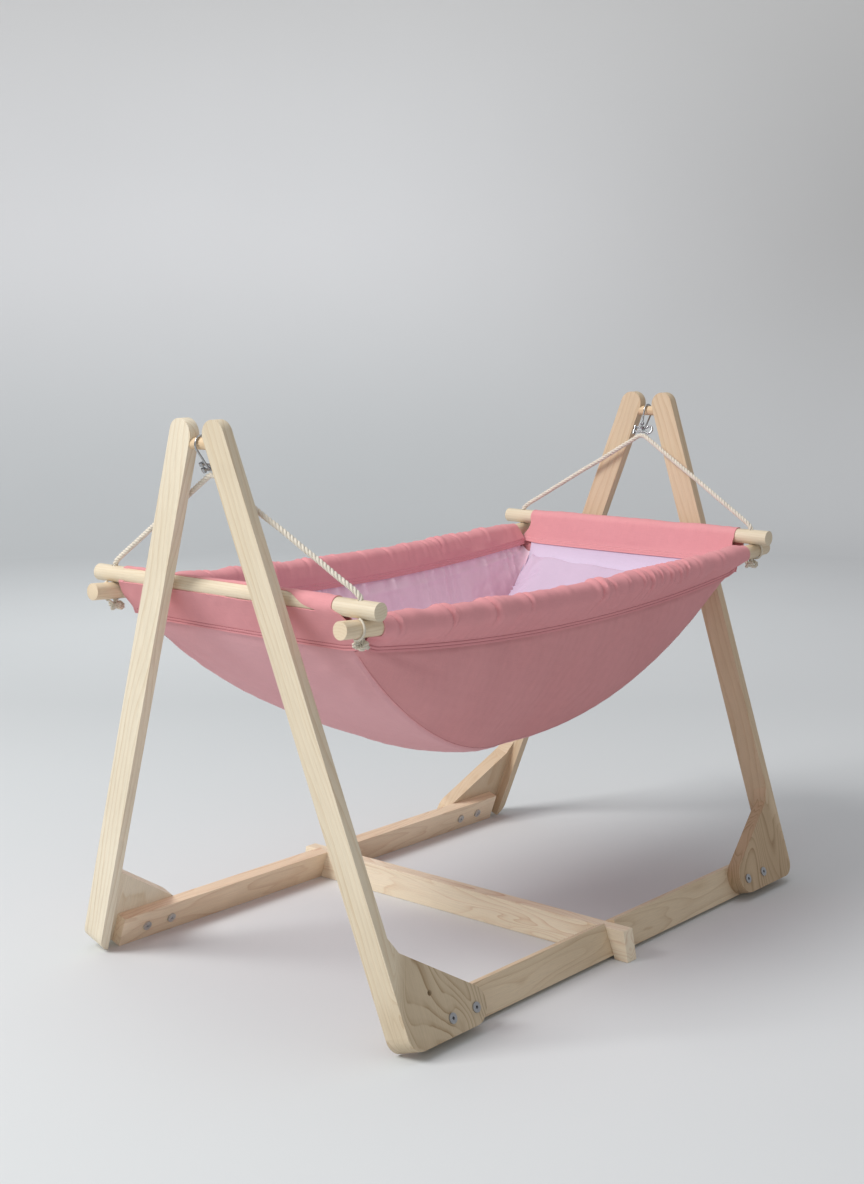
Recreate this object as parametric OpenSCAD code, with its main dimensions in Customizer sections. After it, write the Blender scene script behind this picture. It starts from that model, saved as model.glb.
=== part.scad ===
// Swinging baby cradle: a fabric sling on four round rods, hung by two ropes
// from a free-standing pine stand made of two leaning side frames.
// X runs along the cradle, Y across it, Z up. The origin is on the floor
// under the middle of the stand.

/* [Stand] */
// Length of the stand over the legs, measured at the floor
stand_length = 1000; // [980:5:1060]
// Width of the stand over the feet, measured at the floor
stand_width = 696; // [690:1:720]
// Length of a leg board along its slope
leg_length = 895; // [885:1:900]
// Depth of a leg board, from its outer to its inner face
leg_depth = 42; // [40:1:44]
// Thickness of a leg board along the cradle
leg_thickness = 17; // [16:0.5:18]
// Thickness of the foot that grows out of each leg
foot_thickness = 24; // [22:1:24]
// Height of the side rails and of the cross rail
rail_height = 48; // [44:1:50]
// Thickness of the cross rail
cross_thickness = 24; // [20:1:26]
// Diameter of the pegs that carry the cradle
peg_d = 17; // [15:0.5:17]

/* [Cradle] */
// Diameter of the four rods of the cradle
rod_d = 25; // [23:0.5:25]
// Length of an end rod
end_rod_length = 564; // [556:2:580]
// Length of a side rod
side_rod_length = 1068; // [1056:2:1090]
// Diameter of the hanging ropes
rope_d = 8; // [7:0.5:8]
// Drop of the sling's middle below the end rods
sling_drop = 313; // [295:1:320]
// Sag of the side rods between the corners
rod_sag = 15; // [6:1:20]
// Thickness of the outer cloth with its lining
cloth = 4; // [3:0.5:5]

/* [Hidden] */
$fn = 48;

pine = [0.90, 0.80, 0.62];
pine_rail = [0.84, 0.68, 0.50];
steel = [0.72, 0.73, 0.74];
rope_white = [0.90, 0.87, 0.79];
salmon = [0.84, 0.50, 0.52];
lilac = [0.82, 0.72, 0.84];

lean = 19.75;            // lean of each side frame towards the middle
splay = 0.0555;          // outward run of a leg per millimetre of slope
half_w = stand_width / 2;
half_l = stand_length / 2;
foot_u = 15.1;           // lowest edge of the foot on the outer face
toe_x = half_l - 133;    // centre of the round toe
toe_r = 28;
toe_u = foot_u + toe_r;
foot_slope = 32.6;       // slope of the upper edge of the foot
fillet_r = 30;
rail_half = half_l - 38;
rail_top = foot_u + 50;
lap_u = foot_u + 25;
bolt_u = 39;
bolt_x = [half_l - 88, half_l - 138];
bolt_d = 6;
nut_d = 9;
head_d = 15;

peg_x = half_l + 39;
peg_z = 803;
peg_reach = 34;          // half length of a peg over its tenons
tenon_d = 10;

rod_x = 492;             // end rods
rod_z = 597;
side_y = 249;            // side rods
side_z = rod_z - rod_d;  // the side rods hang under the end rods
rope_y = 248;
hole_d = rope_d + 1;

hang = 26;               // tilt of the hook under its peg
wire_d = 3.2;
loop_top = 11.8;         // wire centre radii of the hook's two bends
loop_low = 5.5;
loop_top_s = 1.2;        // distances below the peg's centre
loop_low_s = 31.6;
shackle_s = 37.3;
shackle_d = 4;

// The sling is a long strip hung from end rod to end rod, with a D-shaped
// panel sewn to each of its long edges. These give the seam between them.
seam_x = 494;            // half length over which the strip's curve is stated
seam_z = rod_z - 27;     // height at which that curve would start
seam_rise = 20;          // the strip sags this much between its seams
seam_mid = 88;           // half width of the strip in the middle, near enough
seam_end = 215;          // and at the ends
shell_top = 527.5;       // lower edge of the bands sewn round the rods, at mid-length
rim_y = 232;
shell_end = 460;
bow_rod_r = rod_x * rod_x / (2 * rod_sag);

// ---- frames of reference ----
// The right side frame lies in its own flat plane: x along the cradle,
// y the depth of the boards from the outer face inwards, z up the slope.
module on_side(s) {
  if (s < 0) translate([0, -half_w, 0]) rotate([-lean, 0, 0]) children();
  else mirror([0, 1, 0]) translate([0, -half_w, 0]) rotate([-lean, 0, 0]) children();
}
// A flat outline drawn in (x, slope) and given a depth from d0 to d1.
module board(d0, d1) translate([0, d1, 0]) rotate([90, 0, 0]) linear_extrude(d1 - d0) children();
module at_end(e) { if (e > 0) children(); else mirror([1, 0, 0]) children(); }

// ---- leg and foot ----
function leg_out(u) = half_l + splay * u;
function leg_in(u) = half_l - leg_thickness + splay * u;
k = sqrt(1 + splay * splay);
fs = sin(foot_slope); fc = cos(foot_slope);
edge0 = [toe_x - toe_r * fs, toe_u + toe_r * fc];
fil_u = (fillet_r + fs * (half_l - leg_thickness - k * fillet_r - edge0[0]) + fc * edge0[1]) / (fc - fs * splay);
fil_x = half_l - leg_thickness + splay * fil_u - fillet_r * k;
tan_foot = [fil_x + fillet_r * fs, fil_u - fillet_r * fc];
tan_leg = [fil_x + fillet_r / k, fil_u - fillet_r * splay / k];
corner_r = 25;
corner_u = foot_u + corner_r;
corner_x = half_l + splay * corner_u - corner_r * k;

module heel_cut() difference() {
  polygon([[corner_x, foot_u - 1], [half_l + 20, foot_u - 1], [half_l + 20, corner_u], [corner_x, corner_u]]);
  translate([corner_x, corner_u]) circle(corner_r);
}
module leg_strip() difference() {
  polygon([[leg_in(foot_u), foot_u], [leg_out(foot_u), foot_u], [leg_out(leg_length), leg_length], [leg_in(leg_length), leg_length]]);
  heel_cut();
}
module foot_outline() difference() {
  union() {
    translate([toe_x, toe_u]) circle(toe_r);
    polygon([[toe_x, foot_u], [leg_out(foot_u) - 0.5, foot_u], [leg_out(corner_u) - 0.5, corner_u], tan_leg + [4, 0], tan_leg, tan_foot, edge0, [toe_x, toe_u]]);
    difference() {
      polygon([tan_foot, tan_leg + [3, 0], [leg_in(tan_foot[1]) + 3, tan_foot[1]], tan_foot - [0, 8], tan_foot]);
      translate([fil_x, fil_u]) circle(fillet_r);
    }
  }
  heel_cut();
}
// Rounds the top of a leg across its depth.
module leg_envelope() rotate([0, 0, 90]) rotate([90, 0, 0]) translate([0, 0, 200]) linear_extrude(500) union() {
  polygon([[0, 0], [leg_depth, 0], [leg_depth, leg_length - leg_depth / 2], [0, leg_length - leg_depth / 2]]);
  translate([leg_depth / 2, leg_length - leg_depth / 2]) circle(leg_depth / 2);
}
module leg(e, s) color(pine) difference() {
  on_side(s) at_end(e) difference() {
    intersection() {
      union() {
        board(0, leg_depth) leg_strip();
        board(0, foot_thickness) foot_outline();
      }
      leg_envelope();
    }
    for (x = bolt_x) translate([x, -1, bolt_u]) rotate([-90, 0, 0]) cylinder(h = foot_thickness + 2, d = nut_d + 0.2);
    // spare hole above the bolts, seen on the near right foot
    if (e < 0 && s < 0) translate([half_l - 58, -1, 83]) rotate([-90, 0, 0]) cylinder(h = 13, d = 8);
  }
  // blind socket for the peg's tenon
  translate([e * peg_x, s * 10, peg_z]) rotate([-s * 90, 0, 0]) cylinder(h = peg_reach - 9, d = tenon_d + 0.2);
}

// ---- rails ----
module side_rail(s) color(pine_rail) on_side(s) difference() {
  board(foot_thickness, leg_depth) polygon([[-rail_half, foot_u], [rail_half, foot_u], [rail_half, rail_top], [-rail_half, rail_top]]);
  translate([-cross_thickness / 2, foot_thickness - 1, lap_u]) cube([cross_thickness, leg_depth - foot_thickness + 2, 60]);
  for (e = [-1, 1]) for (x = bolt_x) translate([e * x, foot_thickness - 1, bolt_u]) rotate([-90, 0, 0]) cylinder(h = 30, d = bolt_d + 0.4);
}
module cross_rail() color(pine_rail) difference() {
  translate([-cross_thickness / 2, 0, 0]) rotate([90, 0, 90]) linear_extrude(cross_thickness)
    polygon([[-half_w + 0.5, 0], [half_w - 0.5, 0], [half_w - 0.5 - 0.18 * rail_height, rail_height], [-half_w + 0.5 + 0.18 * rail_height, rail_height]]);
  for (s = [-1, 1]) on_side(s) translate([-20, foot_thickness, -30]) cube([40, leg_depth - foot_thickness, 30 + lap_u]);
}

// ---- pegs ----
function inner_y(z) = half_w - tan(lean) * z - leg_depth / cos(lean);
module peg(e) color(pine) union() {
  intersection() {
    translate([e * peg_x, 40, peg_z]) rotate([90, 0, 0]) cylinder(h = 80, d = peg_d);
    translate([e * peg_x - 20, 0, 0]) rotate([90, 0, 90]) linear_extrude(40)
      polygon([[-inner_y(780), 780], [inner_y(780), 780], [inner_y(825), 825], [-inner_y(825), 825]]);
  }
  translate([e * peg_x, peg_reach, peg_z]) rotate([90, 0, 0]) cylinder(h = 2 * peg_reach, d = tenon_d);
}

// ---- frame fastenings ----
module bolt_one() {
  difference() {
    rotate([-90, 0, 0]) cylinder(h = 3, d = head_d);
    translate([0, 1, 0]) rotate([-90, 0, 0]) cylinder(h = 3, d = 5, $fn = 6);
  }
  translate([0, -27, 0]) rotate([-90, 0, 0]) cylinder(h = 27.5, d = bolt_d);
}
module sleeve_nut_one() difference() {
  union() {
    translate([0, -2, 0]) rotate([-90, 0, 0]) cylinder(h = 2, d = head_d);
    translate([0, -1, 0]) rotate([-90, 0, 0]) cylinder(h = foot_thickness - 1, d = nut_d);
  }
  translate([0, 8, 0]) rotate([-90, 0, 0]) cylinder(h = 30, d = bolt_d);
  translate([0, -3, 0]) rotate([-90, 0, 0]) cylinder(h = 5, d = 5, $fn = 6);
}
module each_bolt() for (s = [-1, 1]) on_side(s) for (e = [-1, 1]) for (x = bolt_x) translate([e * x, 0, bolt_u]) children();
module frame_bolts() color(steel) each_bolt() translate([0, leg_depth, 0]) bolt_one();
module frame_sleeve_nuts() color(steel) each_bolt() sleeve_nut_one();

// ---- hanging hardware ----
// The hook hangs in a tilted plane: x outwards, z down the tilt is negative.
module hung(e) at_end(e) translate([peg_x, 0, peg_z]) rotate([0, hang, 0]) children();
bend = asin((loop_top - loop_low) / (loop_low_s - loop_top_s));
cb = cos(bend); sb = sin(bend);
run = (loop_low_s - loop_top_s) * cb;
module strand(from, to) // along the straight limb on the inner (-x) side
  translate([-loop_top * cb, 0, -loop_top_s - loop_top * sb]) rotate([0, 180 - bend, 0]) translate([0, 0, from]) cylinder(h = to - from, d = wire_d - 0.2);
module bow(r, a0, sweep, d) rotate([90, 0, 0]) rotate([0, 0, a0]) rotate_extrude(angle = sweep) translate([r, 0]) circle(d / 2, $fn = 24);
gate_top = 9;
gate_low = 25;
module snap_hook(e) color(steel) hung(e) difference() {
  union() {
    translate([0, 0, -loop_top_s]) bow(loop_top, -bend, 180 + 2 * bend, wire_d);
    translate([0, 0, -loop_low_s]) bow(loop_low, 180 + bend, 180 - 2 * bend, wire_d);
    translate([loop_top * cb, 0, -loop_top_s - loop_top * sb]) rotate([0, 180 + bend, 0]) translate([0, 0, -0.4]) cylinder(h = run + 0.8, d = wire_d - 0.2);
    strand(-0.4, gate_top - 0.6);
    strand(gate_low + 1, run + 0.4);
    // flattened eye that carries the gate's pin
    translate([-loop_top * cb, 0, -loop_top_s - loop_top * sb]) rotate([0, 180 - bend, 0]) translate([0, -2.6, gate_low]) rotate([-90, 0, 0]) cylinder(h = 5.2, d = 5.2);
  }
  translate([-loop_top * cb, 0, -loop_top_s - loop_top * sb]) rotate([0, 180 - bend, 0]) translate([0, -5, gate_low]) rotate([-90, 0, 0]) cylinder(h = 10, d = 1.5);
  // slot between the cheeks of the eye, open upwards and inwards
  translate([-loop_top * cb, 0, -loop_top_s - loop_top * sb]) rotate([0, 180 - bend, 0]) translate([-4, -1.1, gate_low - 4]) cube([8, 2.2, 6.6]);
}
module hook_gate(e) color(steel) hung(e) translate([-loop_top * cb, 0, -loop_top_s - loop_top * sb]) rotate([0, 180 - bend, 0]) difference() {
  union() {
    translate([0, 0, gate_top]) cylinder(h = gate_low - 3.4 - gate_top, d = wire_d);
    translate([-1.1, -0.8, gate_low - 5]) cube([2.2, 1.6, 4]);
    translate([0, -0.8, gate_low]) rotate([-90, 0, 0]) cylinder(h = 1.6, d = 3.6);
  }
  translate([0, -3, gate_low]) rotate([-90, 0, 0]) cylinder(h = 6, d = 1.6);
}
module gate_pin(e) color(steel) hung(e) translate([-loop_top * cb, 0, -loop_top_s - loop_top * sb]) rotate([0, 180 - bend, 0]) translate([0, -2.9, gate_low]) rotate([-90, 0, 0]) cylinder(h = 5.8, d = 1.5);

// The shackle lies on its side in the plane of the rope, its bow towards -y.
bow_r = 7;
bow_y = -13;
limb = 4.1;
bow_a = asin(limb / bow_r);
module shackle(e) color(steel) hung(e) translate([0, 0, -shackle_s]) difference() {
  union() {
    translate([0, bow_y, 0]) rotate([90, 0, 90]) rotate([0, 0, bow_a]) rotate_extrude(angle = 360 - 2 * bow_a) translate([bow_r, 0]) circle(shackle_d / 2, $fn = 24);
    for (q = [-1, 1]) {
      translate([0, bow_y + bow_r * cos(bow_a), q * limb]) rotate([-90, 0, 0]) cylinder(h = 22, d = shackle_d - 0.2);
      translate([0, bow_y + bow_r * cos(bow_a), q * limb]) sphere(d = shackle_d + 0.5);
      translate([0, 17, q * limb - 2.3]) cylinder(h = 4.6, d = 7);
    }
  }
  translate([0, 17, -20]) cylinder(h = 40, d = 3.6);
}
module shackle_pin(e) color(steel) hung(e) translate([0, 17, -shackle_s]) union() {
  translate([0, 0, -limb - 3]) cylinder(h = 2 * limb + 5.4, d = 3.3);
  translate([0, 0, -limb - 4.9]) cylinder(h = 2.4, d = 5.6);
}

// ---- ropes and knots ----
// One rope at each end: up through the two rods of a corner, over to the
// shackle and down to the other corner. Route of the near half, in round
// numbers: across, along and up from the middle.
rope_half = [
  [248, 492, 556], [248, 492, 575], [248, 492, 598], [247, 492, 610], [242, 493, 617],
  [232, 494, 624], [210, 497, 637], [180, 500, 655], [150, 504, 673], [120, 507, 691],
  [90, 511, 708], [60, 514, 726], [35, 517, 741], [18, 519, 751], [8, 520, 757], [0, 520, 759]];
rope_route = concat([for (q = rope_half) [q[1], q[0], q[2]]],
  [for (i = [len(rope_half) - 2:-1:0]) [rope_half[i][1], -rope_half[i][0], rope_half[i][2]]]);
function unit(a) = a / norm(a);
module tube(route, d, n) {
  m = len(route);
  tang = [for (i = [0:m - 1]) unit(route[min(i + 1, m - 1)] - route[max(i - 1, 0)])];
  pts = [for (i = [0:m - 1]) let (b = unit(cross(tang[i], [1, 0, 0])), a = cross(b, tang[i]))
    for (j = [0:n - 1]) route[i] + d / 2 * (a * cos(360 * j / n) + b * sin(360 * j / n))];
  faces = concat([[for (j = [0:n - 1]) j]], [[for (j = [n - 1:-1:0]) (m - 1) * n + j]],
    [for (i = [0:m - 2]) for (j = [0:n - 1]) [i * n + j, (i + 1) * n + j, (i + 1) * n + (j + 1) % n]],
    [for (i = [0:m - 2]) for (j = [0:n - 1]) [i * n + j, (i + 1) * n + (j + 1) % n, i * n + (j + 1) % n]]);
  polyhedron(pts, faces);
}
module rope(e) color(rope_white) at_end(e) tube(rope_route, rope_d, 10);
// Stopper knot under the lower rod: two turns and the bound end.
module knot(e, s) color(rope_white) translate([e * rod_x, s * rope_y, side_z - rod_d / 2 - 0.3]) union() {
  translate([0, 0, -4.2]) rotate_extrude() translate([5, 0]) circle(4, $fn = 24);
  translate([0, 0, -11]) rotate_extrude() translate([7.5, 0]) circle(4.3, $fn = 24);
  translate([e * 9, s * 2, -7]) sphere(d = 11, $fn = 32);
}

// ---- rods ----
module end_rod(e) color(pine) difference() {
  translate([e * rod_x, end_rod_length / 2, rod_z]) rotate([90, 0, 0]) cylinder(h = end_rod_length, d = rod_d);
  for (s = [-1, 1]) translate([e * rod_x, s * rope_y, rod_z - 40]) cylinder(h = 80, d = hole_d);
}
// A side rod bows down between the corners, so it and its hem are turned
// about an axis far above it. The outline is drawn in (depth below, across).
module bowed(s, half, r0) translate([0, s * side_y, side_z - rod_sag + bow_rod_r]) rotate([90, 0, 0])
  rotate([0, 0, -90 - asin(half / bow_rod_r)]) rotate_extrude(angle = 2 * asin(half / bow_rod_r), $fn = 720) translate([bow_rod_r, 0]) children();
module side_rod(s) color(pine) difference() {
  bowed(s, side_rod_length / 2) circle(rod_d / 2, $fn = 48);
  for (e = [-1, 1]) translate([e * rod_x, s * rope_y, side_z - 40]) cylinder(h = 80, d = hole_d);
}

// ---- cloth ----
// Sleeve on an end rod with a flat tail sewn below it.
module sleeve_outline() difference() {
  union() {
    circle(rod_d / 2 + 3);
    polygon([[shell_end - rod_x + 1.5, -66.4], [shell_end - rod_x + 7.5, -66.4], [6, -8], [-8, -8]]);
  }
  circle(rod_d / 2 + 0.3);
}
module end_sleeve(e) color(salmon) at_end(e) difference() {
  translate([rod_x, 225, rod_z]) rotate([90, 0, 0]) linear_extrude(450) sleeve_outline();
  // the near sleeve is open on its outer side and shows the bare rod
  if (e < 0) translate([rod_x, -150, rod_z - 9]) cube([40, 350, 19]);
}
module hem_outline(s) difference() {
  union() {
    circle(rod_d / 2 + 4, $fn = 48);
    if (s > 0) polygon([[8, -11], [27, -21], [27, -11], [8, 11]]);
    else polygon([[8, -11], [27, 11], [27, 21], [8, 11]]);
  }
  circle(rod_d / 2 + 0.3, $fn = 48);
}
module side_hem(s) color(salmon) bowed(s, 440) hem_outline(-s);

// Point of the sling's outer face. p runs from end to end and q across, both
// from -1 to 1; |q| under strip_q is the strip, beyond it a side panel.
strip_q = 0.36;
function fall(p) = pow(max(0, 1 - pow(abs(p), 1.86)), 0.85);
function seam_y(p) = seam_mid + (seam_end - seam_mid) * pow(p * p + 0.003, 0.375);
function strip_z(p) = seam_z - (sling_drop - 27) * fall(p);
function mixed(a, b, c, t) = (1 - t) * (1 - t) * a + 2 * t * (1 - t) * b + t * t * c;
function edge_z(p) = shell_top + pow(seam_x * p, 2) / (2 * bow_rod_r);
function skin(p, q) = let (a = abs(q), s = q < 0 ? -1 : 1, ys = seam_y(p), zs = strip_z(p) + seam_rise * fall(p), zt = edge_z(p))
  a <= strip_q ? [seam_x * p, s * ys * a / strip_q, zs - seam_rise * fall(p) * (1 - pow(a / strip_q, 2))]
  : let (t = (a - strip_q) / (1 - strip_q), w = 0.14 * norm([rim_y - ys, zt - zs]))
    [seam_x * p, s * mixed(ys, (ys + rim_y) / 2 + 0.85 * w, rim_y, t), mixed(zs, (zs + zt) / 2 - 0.5 * w, zt, t)];
function inward(p, q) = let (h = 0.01) -unit(cross(skin(p, q + h) - skin(p, q - h), skin(p + h, q) - skin(p - h, q)));
function inset(p, q, g) = skin(p, q) + g * inward(p, q);
// Closed skin between two grids of points of the same size.
module closed_skin(low, high, m, n) {
  no = m * n;
  faces = concat(
    [for (i = [0:m - 2]) for (j = [0:n - 2]) each [[i * n + j, (i + 1) * n + j, (i + 1) * n + j + 1], [i * n + j, (i + 1) * n + j + 1, i * n + j + 1]]],
    [for (i = [0:m - 2]) for (j = [0:n - 2]) each [[no + i * n + j, no + (i + 1) * n + j + 1, no + (i + 1) * n + j], [no + i * n + j, no + i * n + j + 1, no + (i + 1) * n + j + 1]]],
    [for (i = [0:m - 2]) each [[i * n, no + i * n, no + (i + 1) * n], [i * n, no + (i + 1) * n, (i + 1) * n],
      [i * n + n - 1, (i + 1) * n + n - 1, no + (i + 1) * n + n - 1], [i * n + n - 1, no + (i + 1) * n + n - 1, no + i * n + n - 1]]],
    [for (j = [0:n - 2]) each [[j, j + 1, no + j + 1], [j, no + j + 1, no + j],
      [(m - 1) * n + j, no + (m - 1) * n + j + 1, (m - 1) * n + j + 1], [(m - 1) * n + j, no + (m - 1) * n + j, no + (m - 1) * n + j + 1]]]);
  polyhedron(concat(low, high), faces);
}
cloth_m = 31;
cloth_n = 25;
p_end = shell_end / seam_x;
function grid_p(i) = let (t = 2 * i / (cloth_m - 1) - 1) p_end * t;
function grid_q(j) = let (t = 2 * j / (cloth_n - 1) - 1) t;
module skin_between(g0, g1) closed_skin(
  [for (i = [0:cloth_m - 1]) for (j = [0:cloth_n - 1]) inset(grid_p(i), grid_q(j), g0)],
  [for (i = [0:cloth_m - 1]) for (j = [0:cloth_n - 1]) inset(grid_p(i), grid_q(j), g1)], cloth_m, cloth_n);
module sling_shell() color(salmon) skin_between(0, cloth);
module sling_liner() color(lilac) skin_between(cloth + 1.5, cloth + 3.5);
// Mattress: lies along the strip, and its long edges ride up the side panels
// where the bowl is narrower than the mattress.
pad_thick = 46;
pad_gap = 8;
pad_half = 198;
pad_from = -0.82;
pad_to = 0.865;
pad_m = 27;
pad_n = 15;
function pad_q(p) = let (ys = seam_y(p), zs = strip_z(p) + seam_rise * fall(p))
  pad_half < ys ? strip_q * pad_half / ys : strip_q + (1 - strip_q) * (pad_half - ys) / norm([rim_y - ys, edge_z(p) - zs]);
function pad_high(p, v) = cloth + pad_gap + pad_thick * (1 - 0.45 * pow(abs(p - 0.02) / 0.86, 4)) * (1 - 0.5 * pow(abs(v), 5));
function pad_p(i) = pad_from + (pad_to - pad_from) * i / (pad_m - 1);
module mattress_pad() color(lilac) closed_skin(
  [for (i = [0:pad_m - 1]) for (j = [0:pad_n - 1]) let (v = 2 * j / (pad_n - 1) - 1) inset(pad_p(i), pad_q(pad_p(i)) * v, cloth + pad_gap)],
  [for (i = [0:pad_m - 1]) for (j = [0:pad_n - 1]) let (v = 2 * j / (pad_n - 1) - 1) inset(pad_p(i), pad_q(pad_p(i)) * v * 0.98, pad_high(pad_p(i), v))], pad_m, pad_n);

leg(-1, -1);  // near_right_leg
leg(-1, 1);  // near_left_leg
leg(1, -1);  // far_right_leg
leg(1, 1);  // far_left_leg
side_rail(-1);  // right_side_rail
side_rail(1);  // left_side_rail
cross_rail();
peg(-1);  // near_top_peg
peg(1);  // far_top_peg
frame_bolts();
frame_sleeve_nuts();
snap_hook(-1);  // near_snap_hook
snap_hook(1);  // far_snap_hook
hook_gate(-1);  // near_hook_gate
hook_gate(1);  // far_hook_gate
gate_pin(-1);  // near_gate_pin
gate_pin(1);  // far_gate_pin
shackle(-1);  // near_shackle
shackle(1);  // far_shackle
shackle_pin(-1);  // near_shackle_pin
shackle_pin(1);  // far_shackle_pin
rope(-1);  // near_rope
rope(1);  // far_rope
knot(-1, -1);  // near_right_knot
knot(-1, 1);  // near_left_knot
knot(1, -1);  // far_right_knot
knot(1, 1);  // far_left_knot
end_rod(-1);  // near_end_rod
end_rod(1);  // far_end_rod
side_rod(-1);  // right_side_rod
side_rod(1);  // left_side_rod
end_sleeve(-1);  // near_end_sleeve
end_sleeve(1);  // far_end_sleeve
side_hem(-1);  // right_side_hem
side_hem(1);  // left_side_hem
sling_shell();
sling_liner();
mattress_pad();
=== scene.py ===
"""Looks of the swinging cradle on its stand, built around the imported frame."""
import math

import bmesh
import bpy
import numpy as np
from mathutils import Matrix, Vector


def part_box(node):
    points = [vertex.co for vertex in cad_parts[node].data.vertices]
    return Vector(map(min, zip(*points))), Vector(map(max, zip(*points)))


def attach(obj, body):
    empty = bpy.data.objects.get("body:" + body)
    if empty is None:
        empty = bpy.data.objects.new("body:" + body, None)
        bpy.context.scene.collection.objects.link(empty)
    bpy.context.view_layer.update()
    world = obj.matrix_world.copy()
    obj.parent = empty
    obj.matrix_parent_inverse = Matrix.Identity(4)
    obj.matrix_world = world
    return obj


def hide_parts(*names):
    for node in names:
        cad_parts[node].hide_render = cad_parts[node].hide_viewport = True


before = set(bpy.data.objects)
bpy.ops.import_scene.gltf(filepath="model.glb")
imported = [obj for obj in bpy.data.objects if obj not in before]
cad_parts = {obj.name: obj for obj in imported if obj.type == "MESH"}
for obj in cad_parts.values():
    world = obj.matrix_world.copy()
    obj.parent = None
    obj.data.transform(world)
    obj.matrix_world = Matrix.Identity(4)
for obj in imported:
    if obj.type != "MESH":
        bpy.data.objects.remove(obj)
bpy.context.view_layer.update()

scene = bpy.context.scene
COLL = scene.collection

# ------------------------------------------------------------------ camera
cam_data = bpy.data.cameras.new("view_camera")
cam = bpy.data.objects.new("view_camera", cam_data)
COLL.objects.link(cam)
cam.location = (-2.1292, -1.7751, 0.97305)
cam.rotation_euler = (math.radians(81.022), 0.0, math.radians(-50.016))
cam_data.sensor_fit = "HORIZONTAL"
cam_data.sensor_width = 36.0
cam_data.lens = 72.885
cam_data.shift_x = -0.0239
cam_data.clip_end = 60.0
scene.camera = cam


# ------------------------------------------------------------------ small helpers
def rng(seed):
    return np.random.default_rng(seed)


def unit(a):
    return a / np.maximum(np.linalg.norm(a, axis=-1, keepdims=True), 1e-9)


def smooth(a, b, x):
    t = np.clip((x - a) / (b - a), 0, 1)
    return t * t * (3 - 2 * t)


def ripples(u, v, n, low, high, seed, turn=math.pi):
    """Soft band-limited relief of about unit height: n plane waves of wavelengths low to high."""
    r = rng(seed)
    out = np.zeros(np.broadcast(u, v).shape)
    for _ in range(n):
        k = 2 * math.pi / math.exp(r.uniform(math.log(low), math.log(high)))
        a = r.uniform(-turn / 2, turn / 2)
        out += np.sin(k * (u * math.cos(a) + v * math.sin(a)) + r.uniform(0, 6.28))
    return out / math.sqrt(n / 2)


def srgb(r, g, b):
    def lin(c):
        c /= 255
        return c / 12.92 if c <= 0.04045 else ((c + 0.055) / 1.055) ** 2.4
    return (lin(r), lin(g), lin(b), 1.0)


def make_mesh(name, pts_mm, faces, uv=None, sharp=50):
    me = bpy.data.meshes.new(name)
    me.from_pydata((np.asarray(pts_mm, float) * 0.001).tolist(), [], [list(map(int, f)) for f in faces])
    me.update()
    if uv is not None:
        layer = me.uv_layers.new(name="cloth")
        loops = np.empty(len(me.loops), np.int32)
        me.loops.foreach_get("vertex_index", loops)
        layer.data.foreach_set("uv", np.asarray(uv, np.float32)[loops].ravel())
    me.polygons.foreach_set("use_smooth", np.ones(len(me.polygons), bool))
    if sharp:
        me.set_sharp_from_angle(angle=math.radians(sharp))
    ob = bpy.data.objects.new(name, me)
    COLL.objects.link(ob)
    return ob


def grid_normals(P):
    return unit(np.cross(np.gradient(P, axis=0), np.gradient(P, axis=1)))


def arc_uv(P):
    """UV in metres along both directions of a grid, taken along its own surface."""
    du = np.linalg.norm(np.diff(P, axis=0), axis=2).mean(1)
    u = np.concatenate([[0], np.cumsum(du)]) * 0.001
    dv = np.linalg.norm(np.diff(P, axis=1), axis=2)
    v = np.concatenate([np.zeros((P.shape[0], 1)), np.cumsum(dv, axis=1)], axis=1) * 0.001
    v = v - v.mean(axis=1, keepdims=True)
    return np.stack([np.broadcast_to(u[:, None], v.shape), v], axis=2)


def cloth_sheet(name, P, thick, keep=None, uv=None, normals=None):
    """Closed sheet of cloth. P is its outer face as a grid, counted so that the normals point outwards."""
    m, n = P.shape[:2]
    N = grid_normals(P) if normals is None else normals
    uv = arc_uv(P) if uv is None else uv
    idx = np.arange(m * n).reshape(m, n)
    q = np.stack([idx[:-1, :-1], idx[1:, :-1], idx[1:, 1:], idx[:-1, 1:]], axis=2).reshape(-1, 4)
    if keep is not None:
        q = q[keep.reshape(-1)]
    edges = np.concatenate([q[:, [0, 1]], q[:, [1, 2]], q[:, [2, 3]], q[:, [3, 0]]])
    key = np.sort(edges, axis=1)
    key = key[:, 0].astype(np.int64) * (m * n) + key[:, 1]
    _, first, count = np.unique(key, return_index=True, return_counts=True)
    rim = edges[first[count == 1]]
    total = m * n
    faces = q.tolist() + (q[:, ::-1] + total).tolist()
    faces += np.stack([rim[:, 1], rim[:, 0], rim[:, 0] + total, rim[:, 1] + total], axis=1).tolist()
    pts = np.concatenate([P.reshape(-1, 3), (P - N * thick).reshape(-1, 3)])
    uvs = np.concatenate([uv.reshape(-1, 2), uv.reshape(-1, 2)])
    used = np.unique(np.array([i for f in faces for i in f]))
    remap = np.zeros(2 * total, int)
    remap[used] = np.arange(len(used))
    faces = [[remap[i] for i in f] for f in faces]
    return make_mesh(name, pts[used], faces, uvs[used])


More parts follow.
